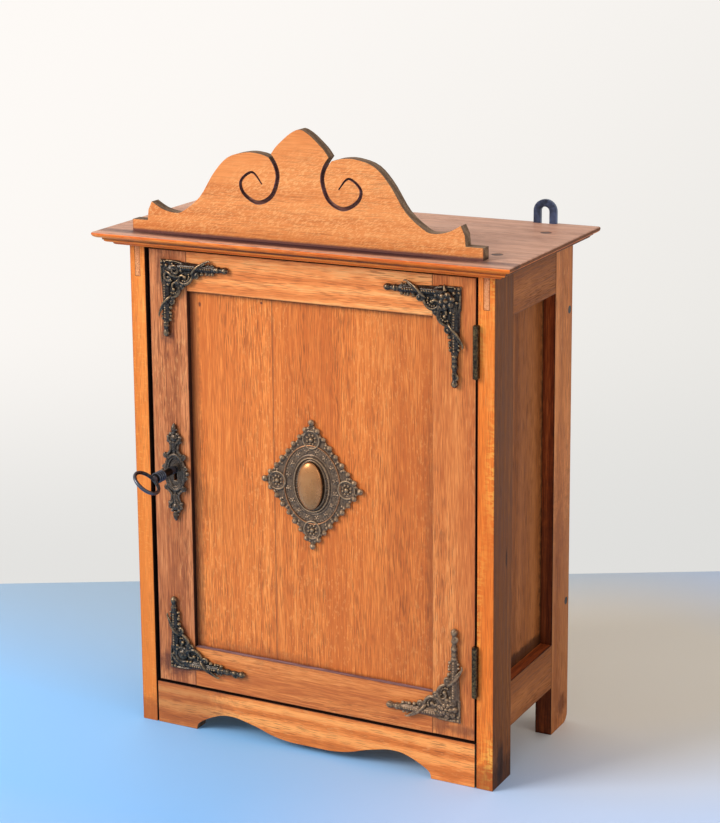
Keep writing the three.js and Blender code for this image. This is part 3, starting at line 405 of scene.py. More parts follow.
def cast_patina() -> bpy.types.NodeTree:
    """Builds the rubbed high places, the dark hollows and the mottle of an old casting.

    Returns:
        The group, which reads the relief and where it counts as hollow and as ridge.
    """
    inputs = [("Vector", VECTOR_IN), ("Relief", VALUE_IN), ("Hollow", VALUE_IN), ("Ridge", VALUE_IN),
              ("Mottle Scale", VALUE_IN)]
    graph, given, out = new_group("cast_patina", inputs, ["Rubbed", "Sunk", "Mottle", "Pits"])
    mottle = graph.noise(given["Vector"], given["Mottle Scale"], 3.0, 0.6)
    height = graph.span(given["Relief"], given["Hollow"], given["Ridge"])
    uneven = graph.maths("ADD", height, graph.maths("MULTIPLY", graph.maths("SUBTRACT", mottle, 0.5), 0.8))
    graph.feed(out["Rubbed"], graph.span(uneven, 0.5, 1.0, 0.0, 0.85))
    graph.feed(out["Sunk"], graph.span(height, 0.0, 0.32, 0.9, 0.0))
    graph.feed(out["Mottle"], mottle)
    pits = graph.noise(given["Vector"], graph.maths("MULTIPLY", given["Mottle Scale"], 4.0), 2.0, 0.6)
    graph.feed(out["Pits"], pits)
    return graph.tree


OAK_FIGURE = oak_figure()
BOARD_EDGES = board_edges()
CAST_PATINA = cast_patina()


def new_material(name: str) -> tuple[bpy.types.Material, Graph, bpy.types.Node, bpy.types.NodeSocket]:
    """Starts a material that reads Object coordinates.

    Args:
        name: The material's name.

    Returns:
        The material, its graph, its surface shader and the Object coordinates.
    """
    material = bpy.data.materials.new(name)
    material.use_nodes = True
    graph = Graph(material.node_tree)
    surface = material.node_tree.nodes["Principled BSDF"]
    place = graph.add("ShaderNodeTexCoord").outputs["Object"]
    return material, graph, surface, place


@dataclass(frozen=True)
class StainOrShade:
    """A dark place on a board: a real stain, or painted shade where one stands for a shadow. Its middle from the
    board's middle, and its reach, none where it runs through.
    """

    at: Triple
    reach: Triple
    share: float = 0.7
    fray: float = 1.2


@dataclass(frozen=True)
class OakFinish:
    """A stained and waxed oak, in the colours of its streaks."""

    name: str
    dark: Tint
    middle: Tint
    light: Tint
    pore: Tint = (112, 58, 34)
    fleck: Tint = (255, 190, 120)
    # The colour of dirt and of painted shade, laid along the edges and at the dark patches.
    dirt_and_shade: Tint = (92, 50, 38)
    ring_share: float = 0.10
    streak_share: float = 0.62
    cloud_share: float = 0.24
    contrast: Pair = (0.35, 0.63)
    pore_share: float = 0.55
    fleck_share: float = 0.2
    fleck_scale: Triple = (420.0, 420.0, 120.0)
    fleck_slant: float = 0.0
    fleck_start: float = 0.56
    dirt_and_shade_share: float = 0.5
    dirt_and_shade_width: float = 1.2 * MM
    ring_scale: float = 34.0
    ring_warp: float = 9 * MM
    streak_scale: float = 210.0
    roughness: Pair = (0.42, 0.62)
    specular: float = 0.2
    coat: float = 0.03
    coat_roughness: float = 0.30
    bump: float = 0.2
    bump_height: float = 0.3 * MM

    def figure(self, graph: Graph, place: bpy.types.NodeSocket, board: "Board", middle: Vector) -> dict:
        """Lays the figure through a board, with the fibres the way it was cut.

        Args:
            graph: The material's graph.
            place: Object coordinates.
            board: The board.
            middle: The board's middle.

        Returns:
            The figure's outputs by name.
        """
        turns = {Grain.ALONG_X: (0.0, math.pi / 2, 0.0), Grain.ALONG_Y: (-math.pi / 2, 0.0, 0.0),
                 Grain.ALONG_Z: (0.0, 0.0, 0.0)}
        mapping = graph.tune(graph.add("ShaderNodeMapping", vector_type="TEXTURE"), vector=place,
                             location=tuple(a + b for a, b in zip(middle, board.pith)), rotation=turns[board.grain])
        return graph.group(OAK_FIGURE, vector=mapping.outputs[0], ring_scale=self.ring_scale,
                           ring_warp=self.ring_warp, streak_scale=self.streak_scale,
                           fleck_scale=self.fleck_scale, fleck_slant=self.fleck_slant,
                           fleck_start=self.fleck_start).outputs

    def soiled_and_shaded(self, graph: Graph, place: bpy.types.NodeSocket, colour: bpy.types.NodeSocket, board: "Board",
               middle: Vector, half: Vector) -> bpy.types.NodeSocket:
        """Darkens a board along its edges and at its dark patches: dirt together with painted shade, as in recesses
        and at the feet of parts.

        Args:
            graph: The material's graph.
            place: Object coordinates.
            colour: The clean colour.
            board: The board.
            middle: The board's middle.
            half: Half the size that shows.

        Returns:
            The soiled colour.
        """
        rough = graph.noise(place, 170.0, 4.0, 0.65)
        # Darkening within a few millimetres of every edge: dirt and painted shade in one.
        edges = graph.group(BOARD_EDGES, vector=place, middle=tuple(middle), half=tuple(half)).outputs[0]
        ragged = graph.maths("ADD", edges, graph.maths("MULTIPLY", rough, self.dirt_and_shade_width))
        edge_dirt_and_shade = graph.span(ragged, 0.4 * self.dirt_and_shade_width, 1.6 * self.dirt_and_shade_width, self.dirt_and_shade_share, 0.0)
        dirt_and_shade = painted(*self.dirt_and_shade)
        colour = graph.blend(edge_dirt_and_shade, colour, dirt_and_shade)
        # Dark patches: real stains, and painted shade where a patch stands for a shadow.
        for patch in board.stains_and_shade:
            spot = graph.vector("SUBTRACT", place, tuple(middle + Vector(patch.at)))
            scaled = graph.vector("MULTIPLY", spot, tuple(1 / way if way else 0.0 for way in patch.reach))
            away = graph.add("ShaderNodeVectorMath", operation="LENGTH")
            graph.feed(away.inputs[0], scaled)
            loose = graph.maths("MULTIPLY", graph.maths("SUBTRACT", rough, 0.5), patch.fray)
            frayed = graph.maths("ADD", away.outputs["Value"], loose)
            colour = graph.blend(graph.span(frayed, 0.4, 1.15, patch.share, 0.0), colour, dirt_and_shade)
        return colour

    def material(self, board: "Board", middle: Vector, half: Vector) -> bpy.types.Material:
        """Makes the oak of one board.

        Args:
            board: The board.
            middle: The board's middle.
            half: Half the size that shows.

        Returns:
            The material.
        """
        material, graph, surface, place = new_material(f"{self.name}_{board.node}")
        figure = self.figure(graph, place, board, middle)
        shares = (("Rings", self.ring_share), ("Streaks", self.streak_share), ("Cloud", self.cloud_share))
        tone = 0.0
        for output, share in shares:
            tone = graph.maths("ADD", tone, graph.maths("MULTIPLY", figure[output], share))
        tone = graph.span(tone, *self.contrast)
        tones = [painted(*seen) for seen in (self.dark, self.middle, self.light)]
        colour = graph.ramp(tone, list(zip((0.0, 0.5, 1.0), tones)))
        flecks = graph.maths("MULTIPLY", figure["Flecks"], self.fleck_share)
        colour = graph.blend(flecks, colour, painted(*self.fleck))
        pores = graph.maths("MULTIPLY", figure["Pores"], self.pore_share)
        colour = graph.blend(pores, colour, painted(*self.pore))
        colour = board.seamed(graph, place, colour, painted(*self.dirt_and_shade), middle)
        graph.feed(surface.inputs["Base Color"], self.soiled_and_shaded(graph, place, colour, board, middle, half))
        gloss = graph.maths("ADD", graph.span(figure["Streaks"], 0.3, 0.7, *self.roughness),
                            graph.maths("MULTIPLY", pores, 0.25), clamp=True)
        surface.inputs["Specular IOR Level"].default_value = self.specular
        height = graph.maths("SUBTRACT", graph.maths("MULTIPLY", figure["Streaks"], 0.6), figure["Pores"])
        graph.tune(surface, coat_weight=self.coat, coat_roughness=self.coat_roughness, roughness=gloss,
                   normal=graph.bump(height, self.bump, self.bump_height))
        return material


HONEY_OAK = OakFinish("honey_oak", (190, 100, 48), (218, 127, 64), (238, 150, 82))
APRON_OAK = OakFinish("apron_oak", (210, 112, 48), (242, 140, 68), (255, 166, 90), ring_share=0.2, streak_share=0.5,
                      cloud_share=0.3)
RAIL_OAK = OakFinish("rail_oak", (222, 126, 62), (252, 158, 86), (255, 184, 114), ring_share=0.14, streak_share=0.5,
                     cloud_share=0.28, ring_scale=40.0)
STILE_OAK = OakFinish("stile_oak", (154, 84, 48), (192, 112, 64), (218, 138, 86), pore_share=0.75, dirt_and_shade_share=0.6)
PANEL_OAK = OakFinish("panel_oak", (208, 108, 46), (238, 136, 62), (255, 162, 86), fleck_share=0.3,
                      fleck=(255, 176, 100), fleck_scale=(500.0, 500.0, 200.0), dirt_and_shade_width=3.0 * MM, dirt_and_shade_share=0.6,
                      ring_share=0.04, cloud_share=0.22)
CREST_OAK = OakFinish("crest_oak", (208, 118, 58), (230, 141, 76), (240, 156, 90), fleck_share=0.55,
                      fleck=(250, 182, 116), fleck_start=0.5, fleck_scale=(900.0, 900.0, 330.0), fleck_slant=0.5,
                      pore_share=0.3, contrast=(0.28, 0.74), dirt_and_shade=(84, 50, 56))
POST_OAK = OakFinish("post_oak", (228, 124, 46), (255, 154, 70), (255, 182, 100), fleck=(255, 182, 90),
                     fleck_share=0.3, fleck_scale=(160.0, 160.0, 520.0), streak_share=0.4, dirt_and_shade=(150, 72, 34),
                     dirt_and_shade_share=0.5, pore_share=0.3)
FLECKED_OAK = OakFinish("flecked_oak", (212, 98, 26), (242, 130, 46), (255, 162, 84), fleck=(255, 190, 84),
                        fleck_share=0.85, fleck_start=0.46, fleck_scale=(130.0, 130.0, 330.0), streak_share=0.35,
                        cloud_share=0.5, dirt_and_shade=(130, 58, 24), dirt_and_shade_share=0.5, pore_share=0.35)
TENON_OAK = OakFinish("tenon_oak", (198, 116, 68), (224, 142, 88), (240, 168, 112), dirt_and_shade_width=1.0 * MM,
                      dirt_and_shade_share=0.9)
NOSE_OAK = OakFinish("nose_oak", (214, 92, 22), (246, 122, 34), (255, 150, 56), dirt_and_shade_share=0.4, pore_share=0.4,
                     specular=0.25)
# Side faces: a browner oak, made darker still as painted shade for faces turned from the lamp. The darker copy also
# covers the posts' sides, the top's edges and the cornice ends.
SHADED_SIDE_OAK = OakFinish("side_oak", (124, 66, 26), (156, 88, 40), (184, 112, 58), fleck_share=0.1, fleck=(190, 126, 86),
                     pore=(76, 38, 18), dirt_and_shade=(50, 24, 10), specular=0.11)
SHADED_DARK_SIDE_OAK = OakFinish("shaded_dark_side_oak", (106, 58, 26), (134, 76, 34), (158, 96, 48), fleck_share=0.1,
                          fleck=(160, 104, 70), pore=(60, 32, 20), dirt_and_shade=(40, 22, 16), specular=0.11, ring_share=0.03)
# The top's pale pinkish grey is its oak with a painted sheen of the pale wall that it mirrors.
TOP_OAK = OakFinish("top_oak", (180, 128, 102), (204, 150, 122), (218, 168, 140), fleck_share=0.1,
                    fleck=(206, 160, 134), pore=(112, 72, 54), dirt_and_shade=(60, 32, 38), coat=0.05, coat_roughness=0.28,
                    ring_share=0.06, streak_share=0.6, cloud_share=0.34, specular=0.22)
SAWN_OAK = OakFinish("sawn_oak", (96, 72, 52), (128, 100, 76), (154, 126, 98), pore=(60, 42, 32), fleck_share=0.0,
                     dirt_and_shade=(66, 44, 34), roughness=(0.6, 0.8), coat=0.0)
# Purple grey in the scroll cuts: brown oak with a painted sheen of sky light on their walls and on the ground behind
# them.
SCROLL_OAK = OakFinish("scroll_oak", (96, 62, 56), (140, 100, 96), (172, 136, 140), pore=(70, 46, 44), fleck_share=0.0,
                       dirt_and_shade=(84, 54, 52), roughness=(0.5, 0.7), coat=0.0)
SCROLL_GROUND_OAK = OakFinish("scroll_ground_oak", (96, 62, 56), (132, 92, 84), (160, 118, 110), roughness=(0.6, 0.8),
                              specular=0.1, coat=0.0)
# Near-black oak for faces that look into the gaps round the door, rails and posts: painted shade, not the wood's own
# colour.
GAP_SHADE_OAK = OakFinish("painted_gap_shade_oak", (30, 17, 12), (48, 27, 18), (66, 38, 25), pore=(24, 14, 10), fleck_share=0.0,
                    dirt_and_shade=(20, 12, 9), roughness=(0.6, 0.8), specular=0.1, coat=0.0)
# Dark red-brown for the back posts' fronts and the side rails' tops: the wood's darker edge with painted shade,
# darkest towards its edges.
SHADED_EDGE_OAK = OakFinish("shaded_edge_oak", (104, 42, 16), (146, 66, 26), (176, 88, 40), pore=(40, 20, 12), fleck_share=0.0,
                     dirt_and_shade=(34, 18, 12), dirt_and_shade_width=2.4 * MM, dirt_and_shade_share=0.8, specular=0.12)
# Pinkish lilac grey for the top of the door's bottom rail: a painted sheen of sky light on the upward ledge.
LEDGE_SHEEN_OAK = OakFinish("ledge_sheen_oak", (84, 54, 52), (126, 94, 94), (170, 142, 150), pore=(80, 50, 46), fleck_share=0.0,
                      dirt_and_shade=(60, 36, 34), roughness=(0.5, 0.7), coat=0.0, dirt_and_shade_share=0.4)
INNER_OAK = OakFinish("inner_oak", (150, 104, 62), (188, 138, 88), (212, 164, 110), fleck_share=0.2,
                      fleck=(224, 180, 124), pore=(96, 62, 36), dirt_and_shade=(88, 58, 38), coat=0.05, roughness=(0.5, 0.72),
                      streak_share=0.5, cloud_share=0.36, contrast=(0.24, 0.76), ring_warp=3 * MM)
BACK_OAK = OakFinish("back_oak", (182, 104, 52), (218, 132, 70), (238, 156, 92), pore=(112, 62, 34), dirt_and_shade=(96, 40, 8),
                     specular=0.11)
PLUG_OAK = OakFinish("plug_oak", (74, 50, 40), (104, 76, 62), (124, 94, 78), fleck_share=0.0, dirt_and_shade=(50, 32, 26))
FACE_WAYS = {"front": (0.0, -1.0, 0.0), "back": (0.0, 1.0, 0.0), "left": (-1.0, 0.0, 0.0),
             "right": (1.0, 0.0, 0.0), "top": (0.0, 0.0, 1.0), "under": (0.0, 0.0, -1.0)}


@dataclass(frozen=True)
class Board:
    """One wooden piece of the cabinet, the way it was cut, and the finish of each of its faces."""

    node: str
    finish: OakFinish
    grain: Grain
    slot: str
    faces: tuple[tuple[str, OakFinish], ...] = ()
    pith: Triple = (11 * MM, 70 * MM, 0.0)
    hidden: Triple = (0.0, 0.0, 0.0)
    stains_and_shade: tuple[StainOrShade, ...] = ()
    seams: tuple[float, ...] = ()
    ease: float = 0.45 * MM
    body: Body = Body.CARCASS
    inside: tuple[Pair, Pair] | None = None

    def seamed(self, graph: Graph, place: bpy.types.NodeSocket, colour: bpy.types.NodeSocket, dirt_and_shade: Colour,
               middle: Vector) -> bpy.types.NodeSocket:
        """Draws the glue lines between the strips of a wide board, and gives each strip its own tone.

        Args:
            graph: The material's graph.
            place: Object coordinates.
            colour: The colour without glue lines.
            dirt_and_shade: The colour of the lines.
            middle: The board's middle.

        Returns:
            The colour with glue lines.
        """
        if not self.seams:
            return colour
        wander = graph.maths("MULTIPLY", graph.noise(place, 20.0, 2.0), 1.2 * MM)
        across = graph.maths("ADD", graph.parts(place)[0], wander)
        for index, seam in enumerate(self.seams):
            past = graph.maths("SUBTRACT", across, middle.x + seam)
            tone = painted(255, 244, 230) if index % 2 else painted(226, 214, 206)
            side = graph.span(past, -0.3 * MM, 0.3 * MM, 0.0, 0.25)
            colour = graph.blend(side, colour, tone, "MULTIPLY")
            line = graph.span(graph.maths("ABSOLUTE", past), 0.25 * MM, 1.1 * MM, 0.55, 0.0)
            colour = graph.blend(line, colour, dirt_and_shade)
        return colour

    def eased(self) -> bmesh.types.BMesh:
        """Copies the board's solid and eases its sharp edges.

        Returns:
            The mesh in the making.
        """
        work = bmesh.new()
        work.from_mesh(frame["nodes"][self.node].data)
        bmesh.ops.remove_doubles(work, verts=work.verts[:], dist=0.001 * MM)
        bmesh.ops.dissolve_limit(work, angle_limit=math.radians(0.5), verts=work.verts[:], edges=work.edges[:])
        if self.ease > 0:
            sharp = [edge for edge in work.edges if len(edge.link_faces) == 2
                     and edge.calc_face_angle(0.0) > math.radians(40)]
            bmesh.ops.bevel(work, geom=sharp, offset=self.ease, offset_type="OFFSET", segments=2, profile=0.5,
                            affect="EDGES", clamp_overlap=True, material=-1)
        bmesh.ops.triangulate(work, faces=work.faces[:])
        return work

    def dress(self) -> None:
        """Shows the board as an eased copy of its solid, with a finish on each face."""
        low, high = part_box(self.node)
        middle, half = (low + high) / 2, (high - low) / 2 - Vector(self.hidden)
        work = self.eased()
        finishes = [self.finish] if self.inside is None else [self.finish, SCROLL_OAK]
        ways = []
        for way, finish in self.faces:
            if finish not in finishes:
                finishes.append(finish)
            ways.append((Vector(FACE_WAYS[way]), finishes.index(finish)))
        work.normal_update()
        for face in work.faces:
            for way, index in ways:
                if face.normal.dot(way) > 0.5:
                    face.material_index = index
                    break
            else:
                face.material_index = 0
            if self.inside is not None and abs(face.normal.y) < 0.5:
                spot = face.calc_center_median() - middle
                (left, right), (foot, head) = self.inside
                if left < abs(spot.x) < right and foot < spot.z < head:
                    face.material_index = finishes.index(SCROLL_OAK)
        materials = [finish.material(self, middle, half) for finish in finishes]
        piece = show(f"{self.node}_oak", work, materials[0], self.body, [self.node], 32.0, materials[1:])
        piece.modifiers.new("flat_faces", "WEIGHTED_NORMAL").keep_sharp = True


@dataclass
class Woodwork:
    """All the wooden boards of the carcass and the door."""

    sides: tuple[str, str] = ("left", "right")
    groove: float = 6 * MM
    tenon: float = 25 * MM
    left_stile_stains: tuple[StainOrShade, ...] = (
        StainOrShade((-3 * MM, 0.0, 140 * MM), (9 * MM, 0.0, 12 * MM), 0.55),
        StainOrShade((0.0, 0.0, -206 * MM), (26 * MM, 0.0, 15 * MM), 0.8),
        StainOrShade((6 * MM, 0.0, -176 * MM), (9 * MM, 0.0, 20 * MM), 0.35),
        StainOrShade((-8 * MM, 0.0, 205 * MM), (8 * MM, 0.0, 26 * MM), 0.45),
        StainOrShade((6 * MM, 0.0, 10 * MM), (10 * MM, 0.0, 14 * MM), 0.25))
    right_stile_stains: tuple[StainOrShade, ...] = (
        StainOrShade((-14 * MM, 0.0, -212 * MM), (12 * MM, 0.0, 16 * MM), 0.5),
        StainOrShade((10 * MM, 0.0, -218 * MM), (20 * MM, 0.0, 6 * MM), 0.5))
    # Door panel: small spots, painted shade mixed with dirt along the left edge and the top in the recess, and broader
    # darkening to the right and along the bottom.
    panel_stains_and_shade: tuple[StainOrShade, ...] = (
        StainOrShade((-52 * MM, 0.0, 180 * MM), (1.8 * MM, 0.0, 1.6 * MM), 0.9),
        StainOrShade((-122 * MM, 0.0, 172 * MM), (1.6 * MM, 0.0, 3 * MM), 0.8),
        StainOrShade((-129 * MM, 0.0, 0.0), (7 * MM, 0.0, 0.0), 0.42),
        StainOrShade((0.0, 0.0, 187 * MM), (0.0, 0.0, 5 * MM), 0.5),
        StainOrShade((129 * MM, 0.0, -40 * MM), (7 * MM, 0.0, 150 * MM), 0.25),
        StainOrShade((104 * MM, 0.0, 0.0), (45 * MM, 0.0, 0.0), 0.10),
        StainOrShade((-60 * MM, 0.0, -186 * MM), (90 * MM, 0.0, 12 * MM), 0.35))
    post_stains: tuple[StainOrShade, ...] = (
        StainOrShade((0.0, 8 * MM, -30 * MM), (0.0, 2 * MM, 11 * MM), 0.85),
        StainOrShade((0.0, -4 * MM, -232 * MM), (0.0, 9 * MM, 26 * MM), 0.8),
        StainOrShade((0.0, 0.0, -250 * MM), (0.0, 0.0, 24 * MM), 0.6))
    back_post_stains: tuple[StainOrShade, ...] = (
        StainOrShade((0.0, 0.0, -150 * MM), (0.0, 0.0, 190 * MM), 0.5),
        StainOrShade((0.0, 6 * MM, -232 * MM), (0.0, 12 * MM, 14 * MM), 0.7))
    # Side panels: painted shade along the back posts and above the bottom rails.
    side_panel_painted_shade: tuple[StainOrShade, ...] = (
        StainOrShade((0.0, 62 * MM, 0.0), (0.0, 16 * MM, 0.0), 0.9),
        StainOrShade((0.0, 0.0, -176 * MM), (0.0, 0.0, 9 * MM), 0.8))
    # Top: painted shade and dark reflection on the strip in front of the crest.
    strip_painted_shade: tuple[StainOrShade, ...] = (StainOrShade((0.0, -97 * MM, 0.0), (300 * MM, 13 * MM, 0.0), 1.0, 0.35),)
    # Crest: a painted contact shadow along the foot of its front.
    crest_foot_painted_shadow: tuple[StainOrShade, ...] = (StainOrShade((0.0, 0.0, -54 * MM), (0.0, 0.0, 3.8 * MM), 0.9, 0.35),)

    def front(self) -> list[Board]:
        """Lists the boards that face the room.

        Returns:
            The boards, from the floor up.
        """
        up, across = Grain.ALONG_Z, Grain.ALONG_X
        # The stiles' sides look into the gaps and take painted gap shade.
        edges = (("left", GAP_SHADE_OAK), ("right", GAP_SHADE_OAK), ("back", INNER_OAK))
        door = {"slot": "front_oak", "body": Body.DOOR}
        return [
            # Faces that look into gaps take painted gap shade; the bottom rail's ledge takes a painted sky sheen.
            Board("apron", APRON_OAK, across, "front_oak", (("under", SAWN_OAK), ("top", GAP_SHADE_OAK),
                  ("left", SAWN_OAK), ("right", SAWN_OAK), ("back", INNER_OAK)), (0.0, 60 * MM, -40 * MM),
                  stains_and_shade=(StainOrShade((-150 * MM, 0.0, 0.0), (70 * MM, 0.0, 60 * MM), 0.42),)),
            Board("door_rail_bottom", HONEY_OAK, across, faces=(("top", LEDGE_SHEEN_OAK), ("under", GAP_SHADE_OAK),
                  ("back", INNER_OAK)), pith=(0.0, 55 * MM, -12 * MM), hidden=(self.tenon, 0.0, 0.0), **door),
            Board("door_rail_top", RAIL_OAK, across, faces=(("top", GAP_SHADE_OAK), ("under", GAP_SHADE_OAK),
                  ("back", INNER_OAK)), pith=(0.0, 60 * MM, 38 * MM), hidden=(self.tenon, 0.0, 0.0), **door),
            Board("door_stile_left", STILE_OAK, up, faces=edges, pith=(-20 * MM, 80 * MM, 0.0),
                  stains_and_shade=self.left_stile_stains, **door),
            Board("door_stile_right", HONEY_OAK, up, faces=edges, pith=(26 * MM, 75 * MM, 0.0),
                  stains_and_shade=self.right_stile_stains, **door),
            Board("door_panel", PANEL_OAK, up, faces=(("back", INNER_OAK),), pith=(60 * MM, 140 * MM, 0.0),
                  hidden=(self.groove, 0.0, self.groove), stains_and_shade=self.panel_stains_and_shade,
                  seams=(-40 * MM,), **door),
            Board("top_front_rail", HONEY_OAK, across, "front_oak", (("front", GAP_SHADE_OAK), ("under", GAP_SHADE_OAK))),
            Board("cornice_front", NOSE_OAK, across, "front_oak", ease=0.0),
            Board("crest_board", SAWN_OAK, across, "front_oak", (("front", CREST_OAK),),
                  (0.0, 90 * MM, 25 * MM), ease=0.35 * MM, stains_and_shade=self.crest_foot_painted_shadow,
                  inside=((20 * MM, 68 * MM), (-18 * MM, 26 * MM))),
            Board("top_board", SHADED_DARK_SIDE_OAK, across, "top_oak", (("top", TOP_OAK), ("front", NOSE_OAK),
                  ("under", NOSE_OAK)), (0.0, 30 * MM, -80 * MM), stains_and_shade=self.strip_painted_shade, ease=0.0),
        ]

    def inside(self) -> list[Board]:
        """Lists the boards inside the cabinet.

        Returns:
            The boards, from the floor up.
        """
        up, across = Grain.ALONG_Z, Grain.ALONG_X
        return [
            Board("bottom_board", INNER_OAK, across, "inner_oak", (("front", GAP_SHADE_OAK),)),
            Board("shelf_lower", INNER_OAK, across, "inner_oak"),
            Board("shelf_upper", INNER_OAK, across, "inner_oak", pith=(0.0, 40 * MM, -60 * MM)),
            Board("back_panel", INNER_OAK, up, "inner_oak", pith=(30 * MM, 120 * MM, 0.0)),
            Board("door_stop", INNER_OAK, up, "inner_oak", (("front", GAP_SHADE_OAK),)),
        ]

    def side(self, side: str) -> list[Board]:
        """Lists the boards of one side.

        Args:
            side: Which side.

        Returns:
            The boards.
        """
        up, along = Grain.ALONG_Z, Grain.ALONG_Y
        right = side == "right"
        inner = "left" if right else "right"
        shift = (17 * MM, 64 * MM, 0.0) if right else (-23 * MM, 71 * MM, 0.0)
        edge_on = (70 * MM, 12 * MM, 0.0) if right else (-70 * MM, 9 * MM, 0.0)
        # Faces turned from the lamp take shaded side oak, the posts' inner faces painted gap shade, and the back
        # posts' fronts dark edge oak with painted shade.
        post_faces = (("front", FLECKED_OAK if right else POST_OAK), (inner, GAP_SHADE_OAK), ("back", INNER_OAK))
        found = [
            Board(f"front_post_{side}", SHADED_DARK_SIDE_OAK, up, "front_oak", post_faces, shift, stains_and_shade=self.post_stains),
            Board(f"back_post_{side}", BACK_OAK, up, "side_oak", ((inner, INNER_OAK), ("front", SHADED_EDGE_OAK)), edge_on,
                  stains_and_shade=self.back_post_stains),
            Board(f"side_panel_{side}", SHADED_SIDE_OAK, up, "side_oak", ((inner, INNER_OAK),), edge_on, ease=0.0,
                  hidden=(0.0, 8 * MM, 8 * MM), stains_and_shade=self.side_panel_painted_shade),
            Board(f"cornice_{side}", SHADED_DARK_SIDE_OAK, along, "side_oak", (), edge_on, ease=0.0),
        ]
        for level in ("top", "bottom"):
            # Rail tops: dark edge oak with painted shade along them.
            faces = (("front", TENON_OAK), (inner, INNER_OAK), ("top", SHADED_EDGE_OAK))
            found.append(Board(f"side_rail_{level}_{side}", SHADED_SIDE_OAK, along, "side_oak", faces, edge_on))
        for level in ("lower", "upper"):
            found.append(Board(f"shelf_cleat_{level}_{side}", INNER_OAK, along, "inner_oak"))
        for row in ("front", "back"):
            found.append(Board(f"top_plug_{row}_{side}", PLUG_OAK, up, "dark_plug", ease=0.3 * MM))
        return found

    def build(self) -> None:
        """Dresses every board."""
        for board in (*self.front(), *self.inside(), *self.side(self.sides[0]), *self.side(self.sides[1])):
            board.dress()


@dataclass(frozen=True)
class MetalFinish:
    """An old metal: dark in its hollows and rubbed bright on its high places."""

    name: str
    deep: Tint
    middle: Tint
    bright: Tint
    hollow: float = -0.34
    ridge: float = 0.44
    mottle_scale: float = 420.0
    metallic: float = 0.8
    roughness: Pair = (0.28, 0.5)
    bump: float = 0.25
    bump_height: float = 0.15 * MM

    def material(self) -> bpy.types.Material:
        """Makes the metal.

        Returns:
            The material.
        """
        material, graph, surface, place = new_material(self.name)
        relief = graph.add("ShaderNodeAttribute", attribute_name=RELIEF).outputs["Fac"]
        patina = graph.group(CAST_PATINA, vector=place, relief=relief, hollow=self.hollow, ridge=self.ridge,
                             mottle_scale=self.mottle_scale).outputs
        deep, middle, bright = (painted(*seen) for seen in (self.deep, self.middle, self.bright))
        ground = graph.ramp(patina["Mottle"], [(0.3, deep), (0.7, middle)])
        ground = graph.blend(patina["Sunk"], ground, deep)
        graph.feed(surface.inputs["Base Color"], graph.blend(patina["Rubbed"], ground, bright))
        graph.tune(surface, metallic=self.metallic, roughness=graph.span(patina["Pits"], 0.3, 0.7, *self.roughness),
                   normal=graph.bump(patina["Pits"], self.bump, self.bump_height))
        return material


BRONZE = MetalFinish("dark_bronze", (28, 25, 24), (78, 70, 62), (150, 122, 88), ridge=0.52, metallic=0.7,
                     roughness=(0.2, 0.42))
PALE_BRONZE = MetalFinish("pale_bronze", (72, 54, 40), (130, 102, 76), (162, 132, 100), ridge=0.5, metallic=0.45)
GREY_BRONZE = MetalFinish("grey_bronze", (46, 38, 32), (96, 80, 66), (142, 120, 98), ridge=0.48, metallic=0.65,
                          roughness=(0.2, 0.42))
# Its bright is tinted blue: a painted sky reflection on the rubbed places.
IRON = MetalFinish("dark_iron", (18, 16, 16), (36, 33, 34), (84, 88, 100), hollow=-0.2, ridge=0.36, metallic=0.7,
                   roughness=(0.24, 0.42))
# Iron for the hanging plates: its blue is a painted sky reflection, not a blued finish.
BLUE_SHEEN_IRON = MetalFinish("blue_sheen_iron", (34, 38, 40), (96, 116, 160), (130, 140, 160), mottle_scale=60.0, metallic=0.6,
                         roughness=(0.3, 0.45))
BRASS = MetalFinish("tarnished_brass", (26, 20, 16), (58, 44, 30), (150, 122, 74), hollow=-0.3, ridge=0.2,
                    metallic=0.7, roughness=(0.2, 0.4))
COPPER = MetalFinish("copper_rim", (92, 58, 40), (138, 92, 62), (176, 124, 86))
STEEL = MetalFinish("dull_steel", (92, 88, 84), (136, 132, 126), (160, 156, 150), roughness=(0.35, 0.6))
BOSS_BRONZE = MetalFinish("worn_bronze", (168, 110, 62), (190, 132, 82), (200, 146, 96), mottle_scale=30.0,
                          metallic=0.6, roughness=(0.26, 0.3), bump=0.02)


def mark_relief(mesh: bpy.types.Mesh, rounds: int) -> None:
    """Notes on each vertex how far it stands out of its softened surroundings, in millimetres.

    Args:
        mesh: A casting's mesh.
        rounds: How often the surroundings are softened.
    """
    count = len(mesh.vertices)
    places = np.empty(count * 3)
    mesh.vertices.foreach_get("co", places)
    places = places.reshape(count, 3)
    normals = np.empty(count * 3)
    mesh.vertices.foreach_get("normal", normals)
    ends = np.empty(len(mesh.edges) * 2, dtype=np.int64)
    mesh.edges.foreach_get("vertices", ends)
    first, second = ends.reshape(-1, 2).T
    neighbours = np.maximum(np.bincount(np.concatenate((first, second)), minlength=count), 1)
    soft = places.copy()
    for _ in range(rounds):
        summed = np.empty_like(soft)
        for axis in range(3):
            summed[:, axis] = (np.bincount(first, soft[second, axis], count)
                               + np.bincount(second, soft[first, axis], count))
        soft = summed / neighbours[:, None]
    relief = ((places - soft) * normals.reshape(count, 3)).sum(axis=1) / MM
    mesh.attributes.new(RELIEF, "FLOAT", "POINT").data.foreach_set("value", relief)


def placed(name: str, data: bpy.types.ID) -> bpy.types.Object:
    """Puts a new object into the scene.

    Args:
        name: The object's name.
        data: Its mesh, curve, lamp or camera.

    Returns:
        The object.
    """
    made = bpy.data.objects.new(name, data)
    bpy.context.scene.collection.objects.link(made)
    return made


